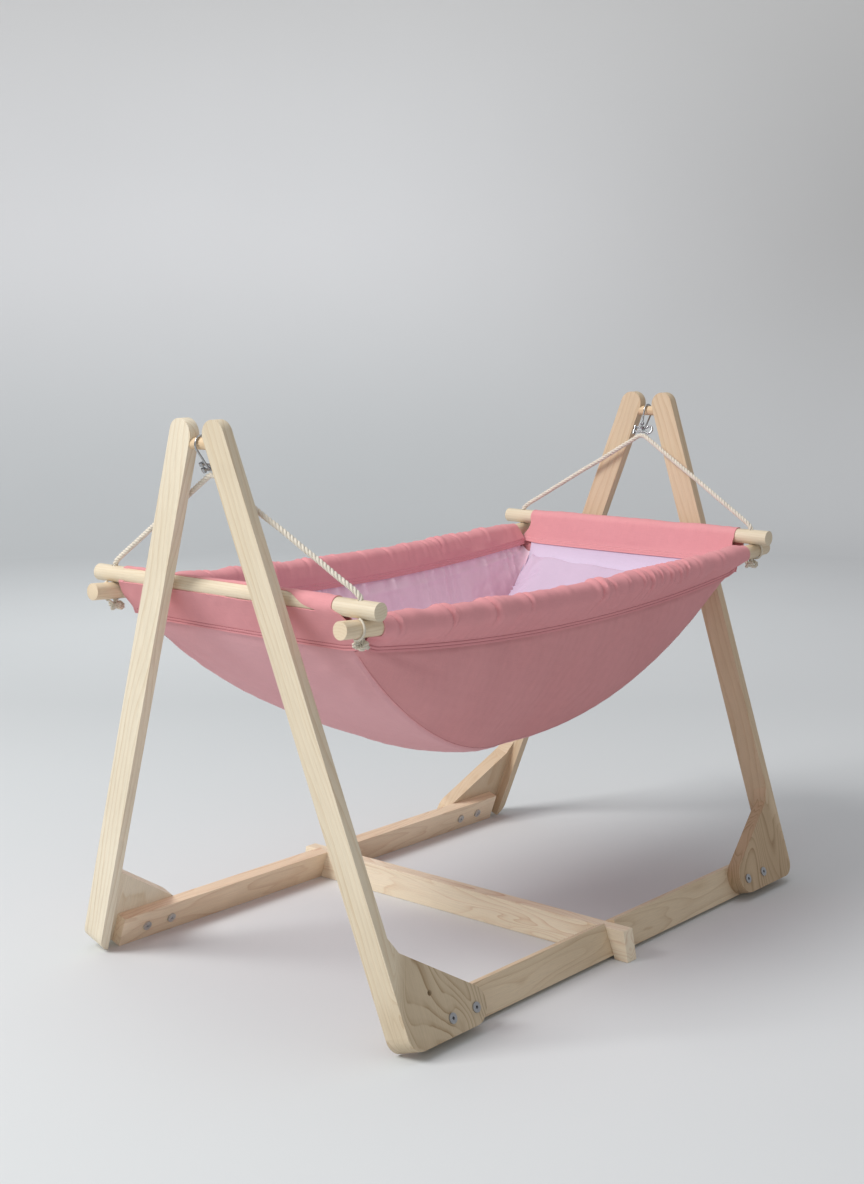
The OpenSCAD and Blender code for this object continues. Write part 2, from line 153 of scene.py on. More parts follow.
def sweep(path, radius, sides, closed_ends=True):
    """Points and faces of a round tube along a path in mm; radius may vary along it."""
    path = np.asarray(path, float)
    k = len(path)
    rad = np.broadcast_to(np.asarray(radius, float), (k,))
    tang = unit(np.gradient(path, axis=0))
    a = np.cross(tang[0], [0.31, 0.95, 0.05])
    a /= np.linalg.norm(a)
    frames = []
    for t in tang:
        a = a - t * np.dot(a, t)
        a /= np.linalg.norm(a)
        frames.append((a, np.cross(t, a)))
    A = np.array([f[0] for f in frames]); B = np.array([f[1] for f in frames])
    ang = np.linspace(0, 2 * math.pi, sides, endpoint=False)
    pts = path[:, None] + rad[:, None, None] * (A[:, None] * np.cos(ang)[None, :, None] + B[:, None] * np.sin(ang)[None, :, None])
    idx = np.arange(k * sides).reshape(k, sides)
    nxt = np.roll(idx, -1, axis=1)
    faces = np.stack([idx[:-1], nxt[:-1], nxt[1:], idx[1:]], axis=2).reshape(-1, 4).tolist()
    if closed_ends:
        faces += [idx[0][::-1].tolist(), idx[-1].tolist()]
    return pts.reshape(-1, 3), faces, (A, B, tang)


def joined(name, parts, sharp=50):
    pts, faces, base = [], [], 0
    for p, f in parts:
        pts.append(np.asarray(p)); faces += [[i + base for i in q] for q in f]; base += len(p)
    return make_mesh(name, np.concatenate(pts), faces, None, sharp)


def resampled(path, step):
    path = np.asarray(path, float)
    s = np.concatenate([[0], np.cumsum(np.linalg.norm(np.diff(path, axis=0), axis=1))])
    t = np.linspace(0, s[-1], max(3, int(s[-1] / step)))
    return np.stack([np.interp(t, s, path[:, i]) for i in range(3)], axis=1)


def curve_through(points, per=10):
    """Catmull-Rom curve through points."""
    P = np.asarray(points, float)
    P = np.concatenate([[2 * P[0] - P[1]], P, [2 * P[-1] - P[-2]]])
    out = []
    for i in range(1, len(P) - 2):
        t = np.linspace(0, 1, per, endpoint=False)[:, None]
        a, b, c, d = P[i - 1], P[i], P[i + 1], P[i + 2]
        out.append(0.5 * ((2 * b) + (c - a) * t + (2 * a - 5 * b + 4 * c - d) * t ** 2 + (3 * b - a - 3 * c + d) * t ** 3))
    out.append(P[-2][None])
    return np.concatenate(out)


# ------------------------------------------------------------------ materials
def S(tree, kind, ins=None, **props):
    n = tree.nodes.new("ShaderNode" + kind)
    for k, v in props.items():
        setattr(n, k, v)
    for k, v in (ins or {}).items():
        if isinstance(v, bpy.types.NodeSocket):
            tree.links.new(v, n.inputs[k])
        else:
            n.inputs[k].default_value = v
    return n


def maths(tree, op, a, b=0.0, c=0.0, clamp=False):
    return S(tree, "Math", {0: a, 1: b, 2: c}, operation=op, use_clamp=clamp).outputs[0]


def mix(tree, f, a, b, blend="MIX"):
    return S(tree, "Mix", {0: f, 6: a, 7: b}, data_type="RGBA", blend_type=blend).outputs[2]


def stretch(tree, vec, s):
    return S(tree, "VectorMath", {0: vec, 1: s}, operation="MULTIPLY").outputs[0]


def noise_of(tree, vec, scale=1.0, detail=2.0, rough=0.5, distortion=0.0):
    return S(tree, "TexNoise", {"Vector": vec, "Scale": scale, "Detail": detail, "Roughness": rough, "Distortion": distortion}).outputs["Fac"]


def ramp(tree, f, stops, mode="LINEAR"):
    n = S(tree, "ValToRGB", {0: f})
    n.color_ramp.interpolation = mode
    while len(n.color_ramp.elements) < len(stops):
        n.color_ramp.elements.new(0.5)
    for e, (p, c) in zip(n.color_ramp.elements, stops):
        e.position = p
        e.color = c if len(c) == 4 else (*c, 1)
    return n.outputs[0]


def grey(v):
    return (v, v, v, 1)


def blank(name):
    m = bpy.data.materials.new(name)
    m.use_nodes = True
    t = m.node_tree
    t.nodes.clear()
    out = t.nodes.new("ShaderNodeOutputMaterial")
    b = t.nodes.new("ShaderNodeBsdfPrincipled")
    t.links.new(b.outputs[0], out.inputs[0])
    return m, t, b


def wood(name, origin, rot, early, late, pith=(-70, 62), ring=6.4, seed=0.0, figure=None, line=0.75, rough=0.5):
    """Planed softwood. Rings run round a pith line that lies along the piece's own z axis. figure=(x0, x1, across,
    along, lines, deep, toe) adds the flowing flat-sawn figure between those distances across the piece, in mm, and
    starts it sooner by toe at the lower end. deep darkens and browns the figured part, and lightens it when negative."""
    m, t, b = blank(name)
    co = S(t, "TexCoord").outputs["Object"]
    loc = S(t, "Mapping", {"Vector": co, "Location": origin, "Rotation": rot}, vector_type="TEXTURE").outputs[0]
    mm = stretch(t, loc, (1000, 1000, 1000))
    shift = S(t, "VectorMath", {0: mm, 1: (seed * 137.0, seed * 71.0, seed * 311.0)}, operation="ADD").outputs[0]
    sway = S(t, "TexNoise", {"Vector": stretch(t, shift, (0.004, 0.004, 0.0022)), "Scale": 1.0, "Detail": 1.0}).outputs["Color"]
    sway = S(t, "VectorMath", {0: sway, 1: (0.5, 0.5, 0.5)}, operation="SUBTRACT").outputs[0]
    swayed = S(t, "VectorMath", {0: mm, 1: stretch(t, sway, (46, 46, 0))}, operation="ADD").outputs[0]
    sep = S(t, "SeparateXYZ", {0: swayed})
    dx = maths(t, "ADD", sep.outputs[0], float(-pith[0]))
    dy = maths(t, "ADD", sep.outputs[1], float(-pith[1]))
    r = maths(t, "SQRT", maths(t, "ADD", maths(t, "MULTIPLY", dx, dx), maths(t, "MULTIPLY", dy, dy)))
    wob = noise_of(t, stretch(t, shift, (0.035, 0.035, 0.006)), 1.0, 3.0, 0.55)
    rings = maths(t, "ADD", maths(t, "DIVIDE", r, ring), maths(t, "MULTIPLY", wob, 1.5))
    if figure:
        hills = noise_of(t, stretch(t, shift, (figure[2], 0.03, figure[3])), 1.0, 1.0, 0.35, 0.45)
        tall = maths(t, "ADD", maths(t, "MULTIPLY", hills, figure[4]), maths(t, "MULTIPLY", wob, 0.7))
        low = S(t, "MapRange", {"Value": sep.outputs[2], "From Min": 165.0, "From Max": 60.0}, interpolation_type="SMOOTHSTEP").outputs[0]
        place = maths(t, "ADD", sep.outputs[0], maths(t, "MULTIPLY", low, figure[6]))
        f = S(t, "MapRange", {"Value": place, "From Min": figure[0], "From Max": figure[1]}, interpolation_type="SMOOTHSTEP").outputs[0]
        rings = maths(t, "ADD", maths(t, "MULTIPLY", rings, maths(t, "SUBTRACT", 1.0, f)), maths(t, "MULTIPLY", tall, f))
    saw = maths(t, "FRACT", rings)
    dense = ramp(t, saw, [(0.0, grey(0.10)), (0.06, grey(0.0)), (0.5, grey(0.10)), (0.80, grey(0.55)), (0.93, grey(1.0)), (1.0, grey(0.18))], "EASE")
    uneven = S(t, "MapRange", {"Value": noise_of(t, stretch(t, shift, (0.05, 0.05, 0.004)), 1.0, 2.0), "From Min": 0.3, "From Max": 0.72, "To Min": 0.25, "To Max": 1.0}).outputs[0]
    dense = maths(t, "MULTIPLY", maths(t, "MULTIPLY", dense, uneven), line)
    if figure:
        dense = maths(t, "MULTIPLY", dense, maths(t, "ADD", 1.0, maths(t, "MULTIPLY", f, 0.75 if figure[5] > 0.5 else 0.0)))
        # deep darkening of the figured part: partly darker figured grain, and on the feet partly painted shade
        foot = tuple(c * (1 - figure[5] * (1 - k)) for c, k in zip(early[:3], (0.76, 0.70, 0.63))) + (1,)
        dark = tuple(c * (1 - figure[5] * (1 - k)) for c, k in zip(late[:3], (0.50, 0.44, 0.38))) + (1,)
        body = mix(t, dense, mix(t, f, early, foot), mix(t, f, late, dark))
    else:
        body = mix(t, dense, early, late)
    fibre = noise_of(t, stretch(t, shift, (1.3, 1.3, 0.025)), 1.0, 4.0, 0.65)
    body = mix(t, 1.0, body, ramp(t, fibre, [(0.3, grey(0.90)), (0.7, grey(1.05))]), "MULTIPLY")
    fleck = ramp(t, noise_of(t, stretch(t, shift, (2.4, 2.4, 0.07)), 1.0, 2.0, 0.5), [(0.60, grey(1.0)), (0.74, grey(0.86))])
    body = mix(t, 1.0, body, fleck, "MULTIPLY")
    cloudy = ramp(t, noise_of(t, stretch(t, shift, (0.012, 0.012, 0.0035)), 1.0, 2.0), [(0.3, (0.94, 0.92, 0.88)), (0.7, (1.04, 1.04, 1.03))])
    body = mix(t, 1.0, body, cloudy, "MULTIPLY")
    t.links.new(body, b.inputs["Base Color"])
    t.links.new(maths(t, "ADD", maths(t, "MULTIPLY", fibre, 0.22), rough - 0.1), b.inputs["Roughness"])
    relief = maths(t, "ADD", maths(t, "MULTIPLY", fibre, 0.7), maths(t, "MULTIPLY", dense, 0.35))
    bump = S(t, "Bump", {"Strength": 0.35, "Distance": 0.00025, "Height": relief})
    t.links.new(bump.outputs[0], b.inputs["Normal"])
    b.inputs["Specular IOR Level"].default_value = 0.35
    return m


def fabric(name, base, tone, pitch=0.62, sheen=0.35, by_object=False, painted_glow=None, slub=0.05, crease=0.35):
    """Plain weave cotton. Thread pitch in mm along the cloth's own UV, or along x and y where it has none."""
    m, t, b = blank(name)
    tex = S(t, "TexCoord")
    uv = stretch(t, tex.outputs["Object" if by_object else "UV"], (1000, 1000, 1000))
    ob = stretch(t, tex.outputs["Object"], (1000, 1000, 1000))
    sep = S(t, "SeparateXYZ", {0: uv})
    k = math.pi / pitch
    a = maths(t, "SINE", maths(t, "MULTIPLY", sep.outputs[0], k))
    c = maths(t, "SINE", maths(t, "MULTIPLY", sep.outputs[1], k))
    weave = maths(t, "ADD", maths(t, "MULTIPLY", maths(t, "MULTIPLY", a, c), 0.5), 0.5)
    warp = noise_of(t, stretch(t, uv, (1.1, 0.05, 0.05)), 1.0, 2.0, 0.6)
    weft = noise_of(t, stretch(t, uv, (0.05, 1.1, 0.05)), 1.0, 2.0, 0.6)
    threads = maths(t, "ADD", warp, weft)
    col = mix(t, 1.0, base, ramp(t, weave, [(0.0, grey(0.97)), (1.0, grey(1.02))]), "MULTIPLY")
    col = mix(t, 1.0, col, ramp(t, maths(t, "MULTIPLY", threads, 0.5), [(0.36, grey(1 - slub)), (0.64, grey(1 + slub))]), "MULTIPLY")
    patch = noise_of(t, stretch(t, ob, (0.006, 0.006, 0.006)), 1.0, 3.0, 0.5)
    col = mix(t, ramp(t, patch, [(0.35, grey(0.0)), (0.7, grey(0.5))]), col, tone)
    # optional painted glow: a mask and its colour, mixed into the cloth colour to stand in for light coming through the
    # cloth
    if painted_glow:
        where, into = painted_glow
        col = mix(t, where(t, ob), col, into)
    fluff = ramp(t, noise_of(t, uv, 1.9, 2.0, 0.6), [(0.62, grey(0.0)), (0.8, grey(0.22))])
    col = mix(t, fluff, col, tuple(min(1.0, x * 1.35 + 0.05) for x in base[:3]) + (1,))
    t.links.new(col, b.inputs["Base Color"])
    b.inputs["Roughness"].default_value = 0.9
    b.inputs["Sheen Weight"].default_value = sheen
    b.inputs["Sheen Roughness"].default_value = 0.45
    b.inputs["Sheen Tint"].default_value = tuple(min(1.0, x * 1.25 + 0.1) for x in base[:3]) + (1,)
    b.inputs["Specular IOR Level"].default_value = 0.2
    wrinkle = noise_of(t, stretch(t, ob, (0.03, 0.03, 0.03)), 1.0, 1.0, 0.4)
    first = S(t, "Bump", {"Strength": crease, "Distance": 0.0012, "Height": wrinkle})
    second = S(t, "Bump", {"Strength": 0.4, "Distance": 0.00016, "Height": maths(t, "ADD", maths(t, "MULTIPLY", weave, 0.5), maths(t, "MULTIPLY", threads, 0.8)), "Normal": first.outputs[0]})
    t.links.new(second.outputs[0], b.inputs["Normal"])
    return m


def metal(name, colour, rough, scratch=0.0, dull=0.0):
    m, t, b = blank(name)
    co = stretch(t, S(t, "TexCoord").outputs["Object"], (1000, 1000, 1000))
    n = noise_of(t, co, 0.5, 4.0, 0.6)
    fine = noise_of(t, stretch(t, co, (0.4, 4.0, 4.0)), 1.0, 3.0, 0.6)
    col = mix(t, ramp(t, n, [(0.35, grey(0.0)), (0.75, grey(dull))]), colour, tuple(0.72 * x for x in colour[:3]) + (1,))
    t.links.new(col, b.inputs["Base Color"])
    b.inputs["Metallic"].default_value = 1.0
    t.links.new(maths(t, "ADD", maths(t, "MULTIPLY", maths(t, "ADD", n, fine), 0.12), rough), b.inputs["Roughness"])
    bump = S(t, "Bump", {"Strength": 0.2 + scratch, "Distance": 0.00008, "Height": fine})
    t.links.new(bump.outputs[0], b.inputs["Normal"])
    return m


def yarn(name, base, shade):
    m, t, b = blank(name)
    tex = S(t, "TexCoord")
    co = stretch(t, tex.outputs["Object"], (1000, 1000, 1000))
    n = noise_of(t, co, 1.6, 4.0, 0.7)
    big = noise_of(t, co, 0.12, 2.0, 0.5)
    col = mix(t, ramp(t, n, [(0.35, grey(0.0)), (0.7, grey(0.8))]), base, shade)
    col = mix(t, 1.0, col, ramp(t, big, [(0.3, grey(0.9)), (0.7, grey(1.06))]), "MULTIPLY")
    t.links.new(col, b.inputs["Base Color"])
    b.inputs["Roughness"].default_value = 0.92
    b.inputs["Sheen Weight"].default_value = 0.25
    b.inputs["Specular IOR Level"].default_value = 0.2
    bump = S(t, "Bump", {"Strength": 0.6, "Distance": 0.0004, "Height": n})
    t.links.new(bump.outputs[0], b.inputs["Normal"])
    return m


PALE, LINE = srgb(231, 218, 195), srgb(206, 180, 142)
PALE2, LINE2 = srgb(229, 211, 184), srgb(198, 166, 127)
BROWN, BLINE = srgb(252, 231, 205), srgb(214, 172, 134)
LEAN = math.radians(19.75)
SPLAY = math.atan(0.0555 * math.cos(LEAN))


def node_ob(n):
    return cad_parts[n]


def paint(ob, mat):
    ob.data.materials.clear()
    ob.data.materials.append(mat)


def ease(n, width, seg=3):
    """Eased edges on a board: the faces are cleaned to plain planes first, then bevelled."""
    o = node_ob(n)
    w = o.modifiers.new("weld", "WELD"); w.merge_threshold = 2e-6
    d = o.modifiers.new("planes", "DECIMATE"); d.decimate_type = "DISSOLVE"; d.angle_limit = math.radians(0.6)
    v = o.modifiers.new("eased", "BEVEL"); v.width = width * 0.001; v.segments = seg; v.limit_method = "ANGLE"
    v.angle_limit = math.radians(35); v.harden_normals = True; v.use_clamp_overlap = True


for i, (n, e, s) in enumerate([("near_right_leg", -1, -1), ("near_left_leg", -1, 1), ("far_right_leg", 1, -1), ("far_left_leg", 1, 1)]):
    lo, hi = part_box(n)
    origin = (e * 0.500, s * 0.348, 0.0)
    rot = (s * LEAN, e * SPLAY, 0.0)
    # right-hand legs: deep 0.85 darkens and browns the figured part down into the feet, partly darker figured grain and
    # partly painted shade on the feet
    fig = ((14, 44) if e < 0 else (-14, -44)) + ((0.0085, 0.0046, 20.0, 0.85, -34.0 * e) if s < 0 else (0.006, 0.0036, 8.0, -0.15, 0.0))
    m = wood(f"pine_leg_{i}", origin, rot, (PALE if s < 0 else srgb(240, 229, 208)) if e < 0 else srgb(220, 199, 171), LINE if e < 0 else LINE2,
             pith=(e * 62, s * -88), ring=7.0 + 0.6 * i, seed=1.3 + i * 2.1, figure=fig, line=0.6)
    paint(node_ob(n), m)
    ease(n, 1.8)
for i, (n, s) in enumerate([("right_side_rail", -1), ("left_side_rail", 1)]):
    m = wood(f"pine_rail_{i}", (0, s * 0.33, 0.04), (0, math.pi / 2, 0), BROWN if s > 0 else PALE2, BLINE if s > 0 else LINE2,
             pith=(90, s * 10), ring=5.2, seed=11 + i * 3.7, figure=(-1001, -1000, 0.02, 0.0036, 10.0, 0.12, 0.0), line=0.62)
    paint(node_ob(n), m)
    ease(n, 1.2, 2)
m = wood("pine_cross", (0, 0, 0.024), (math.pi / 2, 0, 0), srgb(250, 237, 214), BLINE, pith=(14, 40), ring=6.5, seed=23.1, figure=(-1001, -1000, 0.02, 0.0040, 11.0, 0.12, 0.0), line=0.62)
paint(node_ob("cross_rail"), m)
ease("cross_rail", 1.2, 2)
for i, n in enumerate(["near_top_peg", "far_top_peg"]):
    e = -1 if i == 0 else 1
    paint(node_ob(n), wood(f"peg_wood_{i}", (e * 0.539, 0, 0.803), (math.pi / 2, 0, 0), srgb(232, 205, 170), LINE2, pith=(20, 6), ring=2.6, seed=31 + i, line=0.5))
for i, n in enumerate(["near_end_rod", "far_end_rod"]):
    e = -1 if i == 0 else 1
    paint(node_ob(n), wood(f"rod_wood_{i}", (e * 0.492, 0, 0.597), (math.pi / 2, 0, 0), PALE, LINE, pith=(-9, 30), ring=4.2, seed=41 + i * 1.7, line=0.5))
    ease(n, 1.0, 2)
for i, n in enumerate(["right_side_rod", "left_side_rod"]):
    s = -1 if i == 0 else 1
    paint(node_ob(n), wood(f"rod_wood_{i + 2}", (0, s * 0.249, 0.57), (0, math.pi / 2, 0), PALE2, LINE2, pith=(24, 12), ring=4.0, seed=51 + i * 1.3, line=0.5))
    ease(n, 1.0, 2)

ZINC = metal("zinc_plate", (0.50, 0.51, 0.53, 1), 0.24, 0.3, 0.6)
BRIGHT = metal("bright_plate", (0.46, 0.47, 0.49, 1), 0.12, 0.1, 0.8)
paint(node_ob("frame_bolts"), metal("zinc_heads", (0.68, 0.69, 0.70, 1), 0.32, 0.3, 0.5))
paint(node_ob("frame_sleeve_nuts"), ZINC)
for n in ("near_snap_hook", "far_snap_hook", "near_hook_gate", "far_hook_gate", "near_gate_pin", "far_gate_pin",
          "near_shackle", "far_shackle", "near_shackle_pin", "far_shackle_pin"):
    paint(node_ob(n), BRIGHT)

# ------------------------------------------------------------------ the sling's own surfaces
ROD_R = 12.5
BOW = 492.0 ** 2 / 30.0
STRIP_Q = 0.36


def fall(p):
    return np.maximum(0.0, 1 - np.abs(p) ** 1.86) ** 0.85


def strip_z(p):
    return 570 - 286 * fall(p)


def seam_z(p):
    return strip_z(p) + 20 * fall(p)


def seam_y(p):
    return 88 + 127 * (p * p + 0.003) ** 0.375


def edge_z(p):
    return 527.5 + (494 * p) ** 2 / (2 * BOW)


def side_yz(p, t):
    ys, zs, zt = seam_y(p), seam_z(p), edge_z(p)
    w = 0.14 * np.hypot(232 - ys, zt - zs)
    k = 2 * t * (1 - t)
    y = (1 - t) ** 2 * ys + k * ((ys + 232) / 2 + 0.85 * w) + t ** 2 * 232
    z = (1 - t) ** 2 * zs + k * ((zs + zt) / 2 - 0.5 * w) + t ** 2 * zt
    up = np.maximum(0, t - 1) * smooth(0.945, 0.885, np.abs(p))
    return np.where(t > 1, 232 + 30 * up, y), np.where(t > 1, zt + 100 * up, z)


def rod_z(x):
    return 557 + x * x / (2 * BOW)


T_FINE = np.linspace(0, 1, 81)


def skin_y(x, z):
    """How far out the side panel is at height z of station x."""
    x, z = np.broadcast_arrays(np.abs(x), z)
    out = np.empty(x.shape)
    for i in np.ndindex(x.shape):
        y, zz = side_yz(min(x[i], 466.0) / 494, T_FINE)
        out[i] = np.interp(z[i], zz, y)
    return out + np.maximum(0, z - edge_z(np.minimum(x, 466) / 494)) * 0.1


SALMON = fabric("salmon_cotton", srgb(225, 155, 160), srgb(232, 163, 167), sheen=0.35)
SALMON_PANEL = fabric("salmon_panel", srgb(219, 154, 157), srgb(225, 162, 165), sheen=0.3, crease=0.25)


# painted light: a pink cast on the side lining where light comes through the salmon shell, strongest towards the ends
# and low down
def painted_glow_mask(t, ob):
    s = S(t, "SeparateXYZ", {0: ob})
    far = S(t, "MapRange", {"Value": maths(t, "ABSOLUTE", s.outputs[0]), "From Min": 230.0, "From Max": 430.0}, interpolation_type="SMOOTHSTEP").outputs[0]
    low = S(t, "MapRange", {"Value": s.outputs[2], "From Min": 545.0, "From Max": 430.0}, interpolation_type="SMOOTHSTEP").outputs[0]
    return maths(t, "MULTIPLY", maths(t, "MULTIPLY", far, low), 0.75)


LILAC = fabric("lilac_cotton", srgb(219, 203, 225), srgb(226, 212, 232), sheen=0.3, slub=0.03, crease=0.2)
SALMON_STRIP = fabric("salmon_strip", srgb(228, 172, 178), srgb(233, 180, 186), sheen=0.3, crease=0.25)
# the side lining carries a painted pink glow of light through the shell near its lower corners
LILAC_SIDE = fabric("lilac_side", srgb(246, 215, 229), srgb(249, 223, 235), sheen=0.3, slub=0.03, crease=0.3, painted_glow=(painted_glow_mask, srgb(240, 164, 190)))
LILAC_PAD = fabric("lilac_pad", srgb(207, 186, 208), srgb(214, 196, 217), sheen=0.3, slub=0.03, crease=0.2, by_object=True)
# the outer thread is partly its own darker colour and partly painted shade: it is darkened to paint the shadow line
# under each band's lower edge
THREAD = yarn("salmon_thread", srgb(188, 112, 118), srgb(164, 90, 96))
THREAD_IN = yarn("salmon_thread_in", srgb(250, 196, 200), srgb(232, 164, 170))
ROPE = yarn("cotton_rope", srgb(238, 231, 218), srgb(212, 202, 184))
ROPE_GREY = yarn("cotton_rope_knot", srgb(236, 228, 212), srgb(206, 196, 178))

# long strip, from inside the near end band along the bottom to the far end band
TAIL = [(460.6, 524.6), (464.5, 531.5), (467.5, 538.0), (470.3, 544.5)]


def strip_centre(n, tail):
    p = np.linspace(-0.921, 0.921, n)
    x, z, q = 494 * p, strip_z(p), p
    tx = np.array([a for a, _ in tail]); tz = np.array([b for _, b in tail]); tq = tx / 494
    tq = np.minimum(tq, 0.953)
    return (np.concatenate([-tx[::-1], x, tx]), np.concatenate([tz[::-1], z, tz]), np.concatenate([-tq[::-1], q, tq]))


def z_out(x):
    return 509 + 27 * (x / 440) ** 2 + 4 * smooth(440, 468, np.abs(x))


def z_in(x):
    return 531 + 20 * (x / 440) ** 2


SHELL, LINER = 0, 1


def strip_grid(layer, n=210, m=66):
    tail = TAIL if layer == SHELL else [(461.0, 525.2), (465.0, 533.0), (467.4, 540.0), (469.2, 546.0), (471.0, 552.0), (473.2, 558.5)]
    x, z, p = strip_centre(n, tail)
    a = np.linspace(-1, 1, m)
    a = np.sign(a) * (1 - (1 - np.abs(a)) ** 1.35)
    ys = seam_y(p)
    X = np.broadcast_to(x[:, None], (len(x), m)).copy()
    Y = ys[:, None] * a[None]
    sag = 20 * fall(np.clip(p, -1, 1))
    Z = z[:, None] + sag[:, None] * a[None] ** 2
    P = np.stack([X, Y, Z], axis=2)
    N = -grid_normals(P)                     # outwards is down
    dist = (1 - np.abs(a))[None] * ys[:, None]
    fade = smooth(0, 40, 470 - np.abs(X))
    amp = 0.8 * ripples(X, Y, 9, 70, 260, 100) * smooth(0, 30, dist) * fade
    amp += 0.2 * ripples(X, Y, 10, 16, 44, 120) * fade
    # soft drag folds out of the corners
    ang = np.arctan2(dist, 470 - np.abs(X))
    rad = np.hypot(dist, 470 - np.abs(X))
    amp += 1.4 * np.sin(ang * 13 + 0.5) * smooth(10, 60, rad) * np.exp(-(rad / 150) ** 2) * fade
    # seam: the edge turns in, with small puckers and a rolled ridge beside it
    pucker = 0.5 + 0.5 * np.sin(X / 5.3 + 2.0 * np.sin(X / 31.0))
    amp -= (3.0 * np.exp(-(dist / 2.5) ** 2) + 0.25 * pucker * np.exp(-(dist / 13) ** 2)) * smooth(468, 450, np.abs(X))
    amp += 0.8 * np.exp(-((dist - 6) / 2.8) ** 2) * smooth(468, 450, np.abs(X))
    if layer == LINER:
        own = 0.8 * ripples(X, Y, 9, 60, 200, 140) * fade
        amp = amp - 3.2 * smooth(0, 34, 470 - np.abs(X)) - 0.4 - np.maximum(own, 0)
    P = P + N * amp[..., None]
    return P, N


def side_grid(s, layer, n=260, m=74):
    top = 1.10 if layer == SHELL else 1.16
    p = np.linspace(-0.9435, 0.9435, n)
    t = np.linspace(0, 1, m)
    t = t - 0.11 * np.sin(2 * math.pi * t) / (2 * math.pi)
    t = np.concatenate([t[:1], [0.008, 0.018], t[1:], [1 + (top - 1) * 0.5, top]])
    t = np.sort(t)
    X = np.broadcast_to(494 * p[:, None], (n, len(t))).copy()
    Y, Z = side_yz(p[:, None], t[None])
    X, Y, Z = np.broadcast_arrays(X, Y, Z)
    P = np.stack([X, s * Y, Z], axis=2).astype(float)
    N = grid_normals(P)
    if (N[:, len(t) // 2, 1] * s).sum() < 0:
        N = -N
    step = np.linalg.norm(np.diff(P, axis=1), axis=2)
    down = np.concatenate([np.zeros((n, 1)), np.cumsum(step, axis=1)], axis=1)
    from_top = down[:, -3:-2] - down
    from_seam = down
    inner = smooth(0, 35, from_seam) * smooth(-4, 30, from_top) * smooth(0, 30, 466 - np.abs(X))
    amp = 1.3 * ripples(X, from_top * 0.6, 9, 90, 260, 203 + s) * inner
    amp += 0.3 * ripples(X, from_top, 10, 14, 40, 223 + s) * smooth(0, 15, from_seam)
    # faint upright pleats that start under the band and die out below
    gath = np.sin(X / 4.3 + 3 * np.sin(X / 23.0) + 1.7 * np.sin(X / 57.0))
    amp += 0.40 * gath * np.exp(-np.maximum(0, from_top) / 40.0) * smooth(-6, 6, from_top) * (0.35 + 0.65 * smooth(-140, 60, X * (1 if s < 0 else -1)))
    long = np.sin(X / 11.5 + 2.2 * np.sin(X / 61.0) + s)
    amp += 0.55 * long * np.exp(-((from_top - 70) / 70.0) ** 2) * inner
    # folds dragged out of the two upper corners
    for e, power in ((-1, 1.0), (1, 0.55)):
        dx, dz = (X + e * -466) * -e, 541 - Z
        ang = np.arctan2(dz, np.maximum(dx, 1))
        rad = np.hypot(dx, dz)
        fan = np.sin(ang * 15 + 0.6 * np.sin(rad / 60) + 0.4 * s) * (0.6 + 0.4 * np.sin(ang * 6 + 1))
        amp += power * 5.0 * fan * smooth(12, 90, rad) * np.exp(-(rad / 240) ** 2) * smooth(0.12, 0.5, ang) * inner
    pucker = 0.5 + 0.5 * np.sin(X / 4.9 + 1.6 * np.sin(X / 27.0))
    amp -= (3.0 * np.exp(-(from_seam / 2.5) ** 2) + 0.22 * pucker * np.exp(-(from_seam / 13) ** 2)) * smooth(468, 450, np.abs(X))
    amp += 0.8 * np.exp(-((from_seam - 6) / 2.8) ** 2) * smooth(468, 450, np.abs(X))
    # drawn in along the lower edge of the band
    amp -= 1.7 * np.exp(-((Z - (z_out(X) - 6.5)) / 4.0) ** 2)
    if layer == LINER:
        wave = np.sin(X / 4.4 + 2.6 * np.sin(X / 37.0 + s) + 1.3 * np.sin(X / 13.0)) * 0.5 + 0.5
        wave = wave * (0.45 + 0.55 * np.sin(X / 29.0 + 1.3 * np.sin(X / 71.0)) ** 2)
        own = 9.5 * wave ** 1.5 * np.exp(-np.maximum(0, from_top) / 95.0) * smooth(0, 30, from_seam)
        own += 1.3 * (1 + ripples(X, from_top * 0.25, 7, 40, 110, 263 + s)) * inner
        own = np.maximum(own, 0) * (0.5 + 0.5 * smooth(-6, 6, from_top - (edge_z(X / 494) - z_in(X) + 8)))
        amp = np.where(from_top < 14, amp * smooth(-4, 14, from_top), amp)
        amp = amp - 3.0 - 0.8 * smooth(14, 40, from_top) - np.minimum(own, 3.2 + 6.5 * smooth(0, 14, from_top))
    P = P + N * amp[..., None]
    return P, N, from_seam


def oriented(P, N):
    """Grid turned so that its own normals agree with N."""
    if (grid_normals(P) * N).sum() < 0:
        return P[::-1]
    return P


